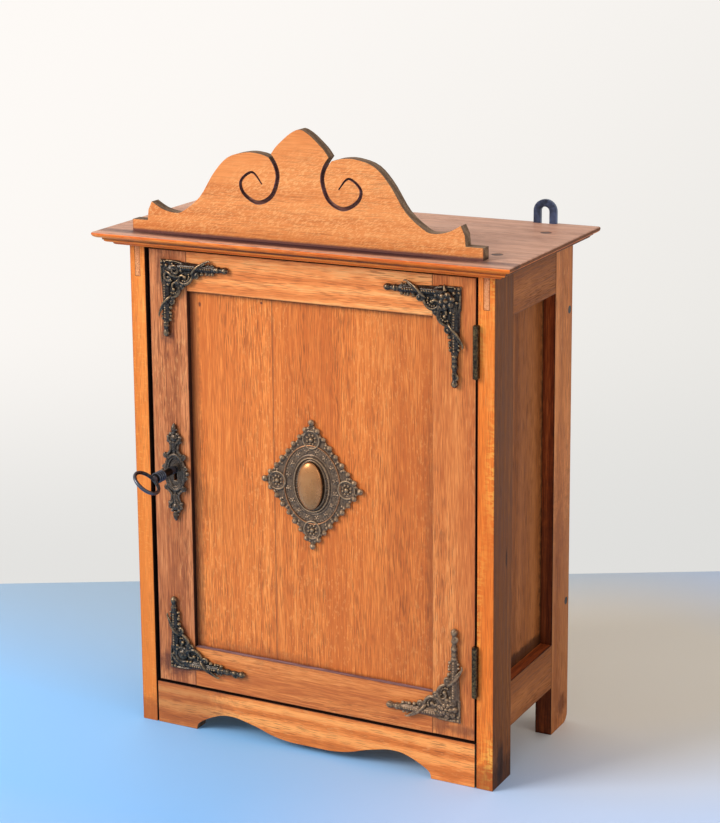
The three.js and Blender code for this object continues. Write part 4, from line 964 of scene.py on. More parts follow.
def meshed(name: str, work: bmesh.types.BMesh) -> bpy.types.Mesh:
    """Turns a mesh in the making into a mesh, and uses it up.

    Args:
        name: The mesh's name.
        work: The mesh in the making.

    Returns:
        The mesh.
    """
    mesh = bpy.data.meshes.new(name)
    work.to_mesh(mesh)
    work.free()
    return mesh


def show(name: str, work: bmesh.types.BMesh, material: bpy.types.Material, body: Body,
         nodes: Sequence[str] = (), crease_deg: float = 38.0,
         more: Sequence[bpy.types.Material] = ()) -> bpy.types.Object:
    """Turns a mesh in the making into a piece that rides on a body.

    Args:
        name: The piece's name.
        work: The mesh in the making, which is used up.
        material: Its material.
        body: The body that carries it.
        nodes: The solids that it is shown instead of.
        crease_deg: The angle from which an edge stays sharp.
        more: Materials of the faces that are numbered from one.

    Returns:
        The piece.
    """
    bmesh.ops.remove_doubles(work, verts=work.verts[:], dist=0.001 * MM)
    bmesh.ops.recalc_face_normals(work, faces=work.faces[:])
    mesh = meshed(name, work)
    for one in (material, *more):
        mesh.materials.append(one)
    mesh.shade_smooth()
    mesh.set_sharp_from_angle(angle=math.radians(crease_deg))
    piece = placed(name, mesh)
    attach(piece, body.value)
    if nodes:
        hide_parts(*nodes)
    log.info("made %s with %d faces", name, len(mesh.polygons))
    return piece


def evaluated(piece: bpy.types.Object) -> bpy.types.Mesh:
    """Works out an object's mesh with its modifiers or its bevel.

    Args:
        piece: A mesh or curve object that is in the scene.

    Returns:
        A new mesh.
    """
    bpy.context.view_layer.update()
    graph = bpy.context.evaluated_depsgraph_get()
    return bpy.data.meshes.new_from_object(piece.evaluated_get(graph))


def oval_places(middle: Pair, reach: Pair, count: int, start: float = 0.0) -> list[Pair]:
    """Finds places at even steps round an oval.

    Args:
        middle: Its middle, across and up.
        reach: Half its width and half its height.
        count: How many places there are.
        start: Where the first one is, in steps.

    Returns:
        The places, across and up.
    """
    turns = [FULL_TURN * (step + start) / count for step in range(count)]
    return [(middle[0] + reach[0] * math.cos(a), middle[1] + reach[1] * math.sin(a)) for a in turns]


@dataclass
class Casting:
    """Gathers the overlapping lumps of one casting and melts them into a single skin.

    A place on it is given in millimetres: across and up from its own zero, and out from the wood.
    """

    name: str
    zero: Vector
    across: Pair = (1.0, 1.0)
    voxel: float = 0.42 * MM
    soften: int = 2
    relief_rounds: int = 14
    seat: float = 0.05 * MM
    work: bmesh.types.BMesh = field(default_factory=bmesh.new)

    def __post_init__(self) -> None:
        """Starts the curve that holds the strands."""
        self.curve = bpy.data.curves.new(self.name, "CURVE")
        self.curve.dimensions = "3D"
        self.curve.bevel_depth = 1.0
        self.curve.bevel_resolution = 3
        self.curve.use_fill_caps = True

    def point(self, u: float, v: float, out: float) -> Vector:
        """Finds a place of the casting in the room.

        Args:
            u: How far across.
            v: How far up or down.
            out: How far out from the wood.

        Returns:
            The place.
        """
        return self.zero + Vector((u * self.across[0], -out, v * self.across[1])) * MM

    def ball(self, u: float, v: float, out: float, radius: float, flat: float = 1.0) -> None:
        """Adds a ball.

        Args:
            u: How far across its middle is.
            v: How far up or down it is.
            out: How far out from the wood it is.
            radius: Its radius.
            flat: Its depth as a share of its width.
        """
        matrix = Matrix.Translation(self.point(u, v, out)) @ Matrix.Diagonal((1.0, flat, 1.0, 1.0))
        bmesh.ops.create_icosphere(self.work, subdivisions=2, radius=radius * MM, matrix=matrix)

    def strand(self, stops: Sequence[Stop], closed: bool = False) -> None:
        """Adds a strand that grows thicker and thinner on its way.

        Args:
            stops: Places with the radius there: across, up, out, radius.
            closed: Whether it runs back to its start.
        """
        spline = self.curve.splines.new("NURBS")
        spline.points.add(len(stops) - 1)
        for knot, (u, v, out, radius) in zip(spline.points, stops):
            knot.co = (*self.point(u, v, out), 1.0)
            knot.radius = radius * MM
        spline.use_cyclic_u = closed
        spline.use_endpoint_u = not closed
        spline.order_u = min(3, len(stops))
        spline.resolution_u = 5

    def ring(self, middle: Pair, reach: Pair, out: float, wire: float, steps: int = 40) -> None:
        """Adds an oval ring of round wire.

        Args:
            middle: Its middle, across and up.
            reach: Half its width and half its height.
            out: How far out the wire's middle lies.
            wire: The wire's radius.
            steps: How many places shape it.
        """
        self.strand([(u, v, out, wire) for u, v in oval_places(middle, reach, steps)], closed=True)

    def scroll(self, middle: Pair, reach: Pair, start_deg: float, turns: float, out: float, wire: Pair) -> None:
        """Adds a strand that curls inwards.

        Args:
            middle: Its middle, across and up.
            reach: Its radius at the start and at the end.
            start_deg: The direction in which it starts.
            turns: How far it turns, in whole turns, clockwise where below zero.
            out: How far out it lies.
            wire: The strand's radius at the start and at the end.
        """
        steps = max(6, int(abs(turns) * 16))
        stops = []
        for step in range(steps + 1):
            share = step / steps
            angle = math.radians(start_deg) + FULL_TURN * turns * share
            radius = reach[0] + (reach[1] - reach[0]) * share
            stops.append((middle[0] + radius * math.cos(angle), middle[1] + radius * math.sin(angle), out,
                          wire[0] + (wire[1] - wire[0]) * share))
        self.strand(stops)

    def wreath(self, middle: Pair, reach: Pair, count: int, out: float, radius: float, start: float = 0.0,
               flat: float = 1.0) -> None:
        """Adds balls at even steps round an oval.

        Args:
            middle: The oval's middle, across and up.
            reach: Half its width and half its height.
            count: How many balls there are.
            out: How far out from the wood they are.
            radius: Their radius.
            start: Where the first one stands, in steps.
            flat: Their depth as a share of their width.
        """
        for u, v in oval_places(middle, reach, count, start):
            self.ball(u, v, out, radius, flat)

    def beads(self, places: Iterable[Triple], radius: float) -> None:
        """Adds a bead at each place.

        Args:
            places: Across, up and out.
            radius: The beads' radius.
        """
        for u, v, out in places:
            self.ball(u, v, out, radius)

    def slab(self, outline: Sequence[Pair], thickness: float) -> None:
        """Adds a flat plate.

        Args:
            outline: Its corners, across and up.
            thickness: How thick it is.
        """
        face = self.work.faces.new([self.work.verts.new(self.point(u, v, 0.0)) for u, v in outline])
        grown = bmesh.ops.extrude_face_region(self.work, geom=[face], use_keep_orig=True)["geom"]
        lifted = [part for part in grown if isinstance(part, bmesh.types.BMVert)]
        bmesh.ops.translate(self.work, verts=lifted, vec=Vector((0.0, -thickness * MM, 0.0)))

    def oval(self, middle: Pair, reach: Pair, thickness: float, steps: int = 48) -> None:
        """Adds a flat oval plate.

        Args:
            middle: Its middle, across and up.
            reach: Half its width and half its height.
            thickness: How thick it is.
            steps: How many corners it has.
        """
        self.slab(oval_places(middle, reach, steps), thickness)

    def melt(self, material: bpy.types.Material, nodes: Sequence[str] = (),
             cutter: bpy.types.Object | None = None) -> None:
        """Melts the lumps into one skin with a flat back, which rides on the door.

        Args:
            material: The casting's material.
            nodes: The solids that it is shown instead of.
            cutter: What is cut out of it, if anything.
        """
        strands = placed(f"{self.name}_strands", self.curve)
        self.work.from_mesh(evaluated(strands))
        bpy.data.objects.remove(strands)
        holder = placed(f"{self.name}_lumps", meshed(f"{self.name}_lumps", self.work))
        skin = holder.modifiers.new("skin", "REMESH")
        skin.mode = "VOXEL"
        skin.voxel_size = self.voxel
        soft = holder.modifiers.new("soft", "SMOOTH")
        soft.factor = 0.5
        soft.iterations = self.soften
        if cutter is not None:
            hole = holder.modifiers.new("hole", "BOOLEAN")
            hole.operation = "DIFFERENCE"
            hole.solver = "EXACT"
            hole.use_self = True
            hole.object = cutter
        melted = bmesh.new()
        melted.from_mesh(evaluated(holder))
        bpy.data.objects.remove(holder)
        back = self.zero.y - self.seat
        for vertex in melted.verts:
            vertex.co.y = min(vertex.co.y, back)
        piece = show(self.name, melted, material, Body.DOOR, nodes, crease_deg=180.0)
        mark_relief(piece.data, self.relief_rounds)


class Flower(Enum):
    """What fills the corner of a mount."""

    ACANTHUS = "acanthus"
    DOME = "dome"
    ROSE = "rose"
    SHELL = "shell"


@dataclass
class CornerMount:
    """A cast corner mount: a flower in the corner, curled lobes and two turned arms with a climbing tendril."""

    node: str
    towards: Pair
    kind: Flower
    plate: float = 2.0
    size: float = 23.0
    leaf_overhang: float = 1.4
    flower_at: float = 13.5
    shaft: Pair = (3.9, 3.2)
    shaft_out: float = 1.5
    rail: float = 0.75
    centre_aside: Pair = (6.5, 6.2)
    bead: float = 1.05
    bead_pitch: float = 2.5
    long_arm: float = 85.0
    wrap: tuple[Stop, ...] = ((36.0, 13.4, 1.8, 1.3), (37.4, 12.0, 3.4, 1.7), (40.0, 8.6, 5.0, 1.7),
                              (44.0, 4.8, 5.0, 1.7), (48.0, 2.2, 3.8, 1.6), (51.5, 0.4, 3.0, 1.5),
                              (54.6, -1.4, 2.8, 1.1), (57.4, -2.2, 3.0, 0.9), (58.6, -1.0, 3.4, 0.6))
    vein: tuple[Stop, ...] = ((40.0, 10.8, 4.0, 0.6), (45.0, 6.6, 5.4, 0.7), (50.0, 3.0, 4.6, 0.7),
                              (54.0, 0.2, 3.8, 0.5))
    tip_curl: tuple[Stop, ...] = ((14.0, 0.0, 3.2, 2.0), (12.4, -2.6, 3.4, 2.0), (9.6, -3.4, 3.2, 1.6),
                                  (8.4, -1.2, 3.6, 1.3))
    lobe_middle: Pair = (28.6, 15.4)
    lobe_sweep: tuple[Stop, ...] = ((39.5, 10.6, 2.2, 1.3), (37.6, 16.8, 2.8, 1.7), (33.4, 22.2, 3.2, 1.9),
                                    (27.4, 23.6, 3.4, 1.9), (22.4, 20.6, 3.4, 1.6), (23.0, 15.4, 3.2, 1.4),
                                    (27.4, 14.2, 3.2, 1.4), (29.6, 17.0, 3.4, 1.5))
    side_curl: Triple = (42.0, 13.2, 3.4)
    knobs: tuple[Triple, ...] = ((48.4, 11.8, 2.3), (53.8, 11.4, 2.0), (57.0, 11.8, 1.3), (60.6, 11.0, 2.0),
                                 (56.0, 1.8, 1.4), (60.0, 2.2, 1.7))
    short_end: tuple[Pair, ...] = ((16.0, 3.2), (13.8, 3.3), (12.2, 3.9), (10.6, 3.1), (8.8, 2.5), (7.8, 2.8),
                                   (4.2, 4.0), (1.4, 2.6), (0.3, 0.9))
    rose_rows: tuple[tuple[int, float, float, float], ...] = ((8, 8.0, 3.0, 3.1), (6, 4.2, 4.8, 2.4))
    dome_petals: int = 6
    leaf_knobs: tuple[Pair, ...] = ((-8.0, 7.0), (-2.0, 9.6), (4.6, 8.6), (9.4, 3.8), (8.6, -7.4), (1.6, -9.4),
                                    (-5.6, -7.6))
    long_end: tuple[Pair, ...] = ((32.0, 3.0), (30.4, 3.9), (28.6, 2.8), (26.2, 3.6), (23.6, 2.8), (21.0, 3.9),
                                  (18.0, 2.8), (16.2, 2.2), (13.4, 3.3), (10.4, 2.7), (8.4, 2.0), (4.3, 4.1),
                                  (1.4, 2.6), (0.3, 0.9))

    def build(self, material: bpy.types.Material) -> None:
        """Makes the mount.

        Args:
            material: Its bronze.
        """
        low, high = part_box(self.node)
        right, up = self.towards
        reach = (high - low) / MM
        corner = Vector((low.x if right > 0 else high.x, high.y, low.z if up > 0 else high.z))
        corner += Vector((right * self.leaf_overhang, 0.0, up * self.leaf_overhang)) * MM
        casting = Casting(self.node, corner, (right, up))
        self.corner(casting)
        makers = {Flower.ACANTHUS: self.acanthus, Flower.DOME: self.dome, Flower.ROSE: self.rose,
                  Flower.SHELL: self.shell}
        makers[self.kind](casting)
        for length, swapped in ((reach.x, False), (reach.z, True)):
            self.arm(casting, length - self.leaf_overhang, swapped)
        casting.melt(material, [self.node])

    def corner(self, casting: Casting) -> None:
        """Adds the ground, the beads of the very corner, the two lobes and the curl between them.

        Args:
            casting: The casting that takes them.
        """
        size = self.size
        casting.slab([(0.0, 0.0), (size, 0.4), (size + 8.0, 9.0), (size + 3.5, 21.0), (size + 1.0, size + 1.0),
                      (21.0, size + 3.5), (9.0, size + 8.0), (0.4, size)], self.plate)
        casting.beads([(2.4, 2.4, 2.4), (6.0, 2.2, 2.2), (2.2, 6.0, 2.2)], 1.5)
        for flip in (False, True):
            turn = (lambda a, b: (b, a)) if flip else (lambda a, b: (a, b))
            casting.strand([(*turn(1.3, 3.0), 1.9, 0.7), (*turn(1.1, 12.0), 2.2, 0.8), (*turn(1.9, 22.0), 2.2, 0.9),
                            (*turn(3.4, 30.0), 2.0, 0.8)])
            self.lobe(casting, turn)
        casting.strand([(size - 3.0, size - 3.0, 3.4, 2.2), (size, size, 3.4, 1.9)])
        casting.scroll((size + 2.4, size + 2.4), (3.4, 1.0), 225.0, -1.2, 3.0, (1.6, 1.2))
        casting.ball(size + 2.4, size + 2.4, 3.4, 1.8)

    def lobe(self, casting: Casting, turn: Callable[[float, float], Pair]) -> None:
        """Adds one curled lobe with its beads.

        Args:
            casting: The casting that takes it.
            turn: Swaps the two directions for the second arm.
        """
        middle = self.lobe_middle
        casting.strand([(*turn(a, b), out, wire) for a, b, out, wire in self.lobe_sweep])
        casting.oval(turn(*middle), (8.4, 8.4), self.plate)
        for bead in range(6):
            angle = math.radians(-24.0 + 27.0 * bead)
            casting.ball(*turn(middle[0] + 5.2 * math.cos(angle), middle[1] + 5.2 * math.sin(angle)), 2.7, 1.15)
        casting.ball(*turn(middle[0] + 0.8, middle[1] + 0.8), 3.2, 2.0)
        casting.beads([(*turn(21.6, 9.6), 3.4), (*turn(25.2, 9.8), 3.4)], 1.8)

    def rose(self, casting: Casting) -> None:
        """Adds a full rose: two rings of round petals and a beaded heart.

        Args:
            casting: The casting that takes it.
        """
        at = self.flower_at
        casting.ball(at, at, 1.4, 10.0, 0.46)
        for petals, reach, out, radius in self.rose_rows:
            casting.wreath((at, at), (reach, reach), petals, out, radius, flat=0.8)
            casting.wreath((at, at), (reach - 1.2, reach - 1.2), petals, out + radius * 0.7, 0.8)
        casting.ball(at, at, 5.8, 1.8)

    def dome(self, casting: Casting) -> None:
        """Adds a high domed flower with long petals and a pointed leaf past the edge.

        Args:
            casting: The casting that takes it.
        """
        at = self.flower_at
        casting.ball(at + 1.0, at + 1.0, 1.4, 9.8, 0.5)
        heart = (at + 0.6, at + 0.6)
        casting.wreath(heart, (5.6, 5.6), self.dome_petals, 4.2, 3.3, 0.3, 0.7)
        casting.wreath(heart, (5.6, 5.6), self.dome_petals, 6.2, 0.9, 0.3)
        casting.wreath((at, at), (9.4, 9.4), self.dome_petals, 2.6, 1.8, 0.7775)
        casting.ball(*heart, 5.6, 2.5)
        casting.ball(*heart, 7.8, 0.9)
        casting.strand([(at + 2.0, 5.0, 3.4, 2.2), (at + 3.0, 1.4, 3.0, 1.8), (at + 3.4, -1.2, 2.2, 0.6)])

    def acanthus(self, casting: Casting) -> None:
        """Adds a leaf that turns into two opposite scrolls.

        Args:
            casting: The casting that takes it.
        """
        at = self.flower_at
        casting.ball(at, at, 1.0, 8.6, 0.36)
        casting.scroll((at - 3.2, at + 2.6), (5.4, 1.2), 40.0, 1.3, 3.6, (1.9, 1.3))
        casting.scroll((at + 4.2, at - 3.4), (5.0, 1.2), 220.0, 1.3, 3.8, (1.9, 1.3))
        casting.strand([(at - 7.0, at - 2.0, 3.0, 1.2), (at - 2.0, at - 1.0, 4.6, 1.9), (at + 3.0, at + 1.8, 4.8, 1.9),
                        (at + 8.0, at + 3.0, 3.4, 1.3)])
        casting.beads([(at + u, at + v, 2.6) for u, v in self.leaf_knobs], 1.9)

    def shell(self, casting: Casting) -> None:
        """Adds a smooth dome in a curled leaf with a knobbed edge.

        Args:
            casting: The casting that takes it.
        """
        at = self.flower_at
        casting.ball(at + 2.6, at + 3.4, 2.0, 6.4, 0.75)
        casting.scroll((at + 2.6, at + 3.4), (8.8, 6.6), 300.0, -0.85, 2.8, (2.0, 1.3))
        for knob in range(7):
            angle = math.radians(150.0 + 22.0 * knob)
            casting.ball(at + 1.0 + 9.2 * math.cos(angle), at + 1.0 + 9.2 * math.sin(angle), 2.6, 2.0)
        casting.strand([(3.0, 16.0, 3.0, 1.4), (7.0, 8.0, 3.8, 1.8), (16.0, 4.4, 3.0, 1.2)])

    def arm(self, casting: Casting, length: float, swapped: bool) -> None:
        """Adds one arm.

        Args:
            casting: The casting that takes it.
            length: Its length from the mount's outer corner.
            swapped: Whether it is the upright one.
        """
        turned = self.long_end if length > self.long_arm else self.short_end
        neck = length - turned[0][0]

        def spot(along: float, aside: float) -> Pair:
            """Finds a place on this arm."""
            return (aside, along) if swapped else (along, aside)

        def middle(along: float) -> float:
            """Finds how far aside the arm's middle is."""
            share = max(0.0, (along - self.size) / (length - self.size))
            return self.centre_aside[0] + (self.centre_aside[1] - self.centre_aside[0]) * share

        casting.slab([spot(*p) for p in ((20.0, 1.0), (0.5 * length, 2.0), (neck, 3.0), (neck, 9.2),
                                         (0.5 * length, 10.8), (20.0, 11.6))], self.plate)
        casting.strand([(*spot(at, middle(at)), self.shaft_out, radius) for at, radius in
                        ((17.0, 2.2), (22.0, self.shaft[0]), (0.5 * length, self.shaft[0] * 0.96),
                         (neck, self.shaft[1]))])
        for aside in (-3.4, 3.4):
            casting.strand([(*spot(at, middle(at) + aside * (1.0 - 0.2 * at / length)), 2.6, self.rail)
                            for at in (24.0, 0.5 * (24.0 + neck), neck)])
        for bead in range(int((neck - 26.0) / self.bead_pitch)):
            at = 26.0 + bead * self.bead_pitch
            lift = self.shaft_out + self.shaft[0] - (self.shaft[0] - self.shaft[1]) * at / length
            casting.ball(*spot(at, middle(at)), lift, self.bead)
        for table in (self.wrap, self.vein):
            casting.strand([(*spot(along, aside), out, radius) for along, aside, out, radius in table])
        along, aside, reach = self.side_curl
        casting.scroll(spot(along, aside), (reach, 1.0), 250.0 if swapped else 200.0,
                       1.15 if swapped else -1.15, 2.8, (1.5, 1.1))
        casting.ball(*spot(along, aside), 1.8, reach + 0.8, 0.6)
        casting.ball(*spot(along, aside), 3.2, 1.5)
        for along, aside, radius in self.knobs:
            casting.ball(*spot(along, aside), 2.2, radius)
            casting.ball(*spot(along, aside), 2.2 + radius * 0.8, radius * 0.4)
        casting.strand([(*spot(length - back, middle(neck)), 2.4, radius) for back, radius in turned])
        if length > self.long_arm:
            casting.strand([(*spot(length - back, middle(neck) + aside), out, radius)
                            for back, aside, out, radius in self.tip_curl])


@dataclass
class Medallion:
    """The cast diamond in the middle of the door, with its rope, its rim, its rosettes and its smooth boss."""

    plate: float = 2.0
    knob: float = 2.9
    knobs_per_edge: int = 8
    knob_sizes: Triple = (1.18, 1.08, 0.94)
    inner_beads: tuple[Pair, ...] = ((0.965, 1.5), (0.90, 1.15))
    rim: Pair = (30.2, 38.6)
    rope: Pair = (18.7, 26.4)
    rope_beads: int = 92
    milled_ticks: int = 64
    clusters: int = 16
    cluster_ring: Pair = (25.2, 33.2)
    cluster_beads: int = 5
    bead_ring: Pair = (28.2, 36.6)
    ring_beads: int = 70
    rosette_reach: float = 8.6
    rosette_places: tuple[Pair, ...] = ((-37.0, 0.0), (37.0, 0.0), (0.0, -44.5), (0.0, 44.5))
    boss_share: float = 0.82
    boss_lift: float = 3.6 * MM
    shift: Triple = (1.5 * MM, 0.0, -0.8 * MM)
    stretch: Pair = (1.03, 1.03)

    def build(self, bronze: bpy.types.Material, gold: bpy.types.Material, smooth: bpy.types.Material) -> None:
        """Makes the medallion.

        Args:
            bronze: The casting's material.
            gold: The material of its rubbed oval rim.
            smooth: The material of the boss.
        """
        low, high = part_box("medallion_plate")
        middle = (low + high) / 2
        zero = Vector((middle.x, high.y, middle.z)) + Vector(self.shift)
        half = (high - low) / 2 / MM
        casting = Casting("medallion_casting", zero, self.stretch, voxel=0.46 * MM)
        reach = (half.x - self.knob - 0.5, half.z - self.knob - 0.5)
        corners = [(reach[0], 0.0), (0.0, reach[1]), (-reach[0], 0.0), (0.0, -reach[1])]
        casting.slab(corners, self.plate)
        self.edge(casting, corners)
        self.band(casting)
        for u, v in self.rosette_places:
            self.rosette(casting, u, v)
        casting.melt(bronze, ["medallion_plate"])
        rim = Casting("medallion_rim", zero, self.stretch, voxel=0.3 * MM, soften=1)
        rim.ring(CENTRE, self.rim, self.plate + 0.5, 0.75, 72)
        rim.melt(gold)
        self.boss(smooth)

    def edge(self, casting: Casting, corners: Sequence[Pair]) -> None:
        """Adds the knobs along the diamond's four edges.

        Args:
            casting: The casting that takes them.
            corners: The diamond's corners.
        """
        for index, start in enumerate(corners):
            end = corners[(index + 1) % 4]
            for knob in range(self.knobs_per_edge):
                share = knob / self.knobs_per_edge
                u, v = (start[0] + (end[0] - start[0]) * share, start[1] + (end[1] - start[1]) * share)
                big, odd, even = self.knob_sizes
                size = self.knob * (big if knob == 0 else (odd if knob % 2 else even))
                casting.ball(u, v, self.plate, size, 0.8)
                casting.ball(u, v, self.plate + 1.9, self.knob * 0.42)
                share += 0.5 / self.knobs_per_edge
                u, v = (start[0] + (end[0] - start[0]) * share, start[1] + (end[1] - start[1]) * share)
                for inwards, radius in self.inner_beads:
                    casting.ball(u * inwards, v * inwards, self.plate, radius)

    def band(self, casting: Casting) -> None:
        """Adds the rope round the boss and the little beads of the band outside it.

        Args:
            casting: The casting that takes them.
        """
        casting.ring(CENTRE, self.rope, self.plate + 0.6, 1.2, 64)
        casting.ring(CENTRE, (self.rope[0] - 3.9, self.rope[1] - 2.6), self.plate + 0.5, 1.0, 64)
        casting.wreath(CENTRE, (self.rope[0] - 2.0, self.rope[1] - 1.4), self.milled_ticks, self.plate + 0.3, 0.6)
        casting.ring(CENTRE, (self.rope[0] + 2.6, self.rope[1] + 2.6), self.plate, 0.7, 64)
        casting.wreath(CENTRE, self.rope, self.rope_beads, self.plate + 1.6, 0.62)
        for cluster, middle in enumerate(oval_places(CENTRE, self.cluster_ring, self.clusters, 0.5)):
            casting.ball(*middle, self.plate, 1.25)
            start = self.cluster_beads * (cluster + 0.5) / self.clusters
            casting.wreath(middle, (2.1, 2.1), self.cluster_beads, self.plate, 0.8, start)
        casting.wreath(CENTRE, self.bead_ring, self.ring_beads, self.plate, 0.55)

    def rosette(self, casting: Casting, u: float, v: float) -> None:
        """Adds one rosette: a rim, a ring of beads and a bead in the middle.

        Args:
            casting: The casting that takes it.
            u: How far across its middle is.
            v: How far up it is.
        """
        casting.oval((u, v), (self.rosette_reach, self.rosette_reach), self.plate)
        casting.ring((u, v), (self.rosette_reach, self.rosette_reach), self.plate + 0.7, 1.0, 32)
        casting.ring((u, v), (self.rosette_reach - 2.0, self.rosette_reach - 2.0), self.plate + 0.1, 0.6, 32)
        casting.wreath((u, v), (4.4, 4.4), 8, self.plate + 0.4, 1.25, 0.5)
        casting.ball(u, v, self.plate + 0.7, 2.4)

    def boss(self, smooth: bpy.types.Material) -> None:
        """Adds the smooth domed boss.

        Args:
            smooth: Its material.
        """
        low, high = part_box("medallion_boss")
        middle, half = (low + high) / 2, (high - low) / 2
        work = bmesh.new()
        spot = Vector((middle.x, high.y - self.boss_lift, middle.z)) + Vector(self.shift)
        matrix = Matrix.Translation(spot) @ Matrix.Diagonal((self.boss_share * half.x, 2 * half.y, half.z, 1.0))
        bmesh.ops.create_uvsphere(work, u_segments=72, v_segments=48, radius=1.0,
                                  matrix=matrix @ FACING_BACK)
        bmesh.ops.bisect_plane(work, geom=work.verts[:] + work.edges[:] + work.faces[:],
                               plane_co=(0.0, high.y, 0.0), plane_no=(0.0, 1.0, 0.0), clear_outer=True)
        bmesh.ops.holes_fill(work, edges=work.edges[:])
        show("smooth_boss", work, smooth, Body.DOOR, ["medallion_boss"])


@dataclass
class Escutcheon:
    """The cast plate round the keyhole, with a palmette and a tip above and below."""

    plate: float = 2.2
    oval: Pair = (12.6, 20.2)
    rim: Pair = (11.0, 18.4)
    inner_rim: Pair = (8.4, 15.4)
    bead_ring: Pair = (9.6, 16.8)
    ring_beads: int = 34
    side_knob: Triple = (14.6, 0.0, 2.4)
    hole: float = 3.65
    slot_width: float = 4.2
    slot_drop: float = 12.5

    def build(self, bronze: bpy.types.Material) -> None:
        """Makes the escutcheon.

        Args:
            bronze: Its material.
        """
        low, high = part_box("escutcheon")
        middle = (low + high) / 2
        casting = Casting("escutcheon_casting", Vector((middle.x, high.y, middle.z)), voxel=0.32 * MM)
        casting.oval(CENTRE, self.oval, self.plate)
        casting.ring(CENTRE, self.rim, self.plate + 0.1, 1.9, 48)
        casting.ring(CENTRE, self.inner_rim, self.plate + 0.3, 1.0, 48)
        casting.wreath(CENTRE, self.bead_ring, self.ring_beads, self.plate + 0.9, 0.75)
        for side in (-1.0, 1.0):
            u, v, radius = self.side_knob
            casting.ball(side * u, v, 2.2, radius)
            casting.scroll((side * (u - 1.4), 5.0), (2.0, 0.7), 90.0, side * 1.0, 2.6, (1.1, 0.8))
            casting.scroll((side * (u - 1.4), -5.0), (2.0, 0.7), 270.0, -side * 1.0, 2.6, (1.1, 0.8))
        for up in (-1.0, 1.0):
            self.end(casting, up)
        cutter = self.keyhole()
        casting.melt(bronze, ["escutcheon"], cutter)
        bpy.data.objects.remove(cutter)

    def end(self, casting: Casting, up: float) -> None:
        """Adds the shoulders, the neck, the palmette and the tip of one end.

        Args:
            casting: The casting that takes them.
            up: One for the upper end and minus one for the lower.
        """
        casting.slab([(-6.2, up * 16.0), (6.2, up * 16.0), (4.3, up * 22.0), (5.0, up * 31.0), (-5.0, up * 31.0),
                      (-4.3, up * 22.0)], self.plate)
        for side in (-1.0, 1.0):
            casting.strand([(side * 5.4, up * 31.0, 2.2, 1.2), (side * 3.9, up * 26.0, 2.8, 1.4),
                            (side * 4.2, up * 21.6, 3.0, 1.5), (side * 8.0, up * 18.6, 2.8, 1.5)])
            casting.scroll((side * 10.2, up * 16.6), (2.4, 0.8), 90.0, side * up * -1.0, 2.8, (1.5, 1.1))
            casting.ball(side * 10.2, up * 16.6, 1.8, 3.2, 0.8)
            casting.strand([(side * 1.3, up * 23.0, 3.0, 0.8), (side * 1.3, up * 29.0, 3.2, 0.9),
                            (side * 4.6, up * 32.6, 3.2, 1.8), (side * 7.0, up * 35.4, 2.8, 1.7)])
            casting.ball(side * 6.6, up * 36.6, 2.2, 2.4)
            casting.ball(side * 7.0, up * 32.4, 2.0, 2.1)
            casting.ball(side * 3.8, up * 40.0, 2.2, 2.2)
            casting.ball(side * 2.2, up * 44.4, 2.0, 1.8)
        casting.wreath((0.0, up * 36.0), (2.2, 2.2), 5, 3.6, 1.3)
        casting.ball(0.0, up * 36.0, 2.4, 4.4, 0.7)
        casting.ball(0.0, up * 36.0, 4.4, 1.2)
        casting.strand([(0.0, up * 19.0, 2.6, 0.9), (0.0, up * 26.0, 3.2, 1.0), (0.0, up * 32.0, 3.4, 1.6)])
        casting.strand([(0.0, up * 41.0, 2.4, 2.4), (0.0, up * 43.4, 2.8, 2.2), (0.0, up * 47.0, 2.6, 3.3),
                        (0.0, up * 51.0, 2.0, 0.9)])
        casting.ball(0.0, up * 47.0, 4.6, 1.0)

    def keyhole(self) -> bpy.types.Object:
        """Makes what the keyhole is cut with: a round bar and a flat one under it.

        Returns:
            The cutter.
        """
        axis = key_axis()
        work = bmesh.new()
        bmesh.ops.create_cone(work, cap_ends=True, segments=40, radius1=self.hole * MM, radius2=self.hole * MM,
                              depth=30 * MM, matrix=Matrix.Translation(axis) @ FACING_BACK)
        size = Matrix.Diagonal((self.slot_width * MM, 29 * MM, self.slot_drop * MM, 1.0))
        place = Matrix.Translation(axis - Vector((0.0, 0.0, self.slot_drop / 2 * MM)))
        bmesh.ops.create_cube(work, size=1.0, matrix=place @ size)
        return placed("keyhole_cutter", meshed("keyhole_cutter", work))


def key_axis() -> Vector:
    """Finds where the key's axis meets the door's front: over the middle of the lock, behind the escutcheon.

    Returns:
        The place.
    """
    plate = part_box("escutcheon")
    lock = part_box("lock_case")
    return Vector(((plate[0].x + plate[1].x) / 2, plate[1].y, (lock[0].z + lock[1].z) / 2))


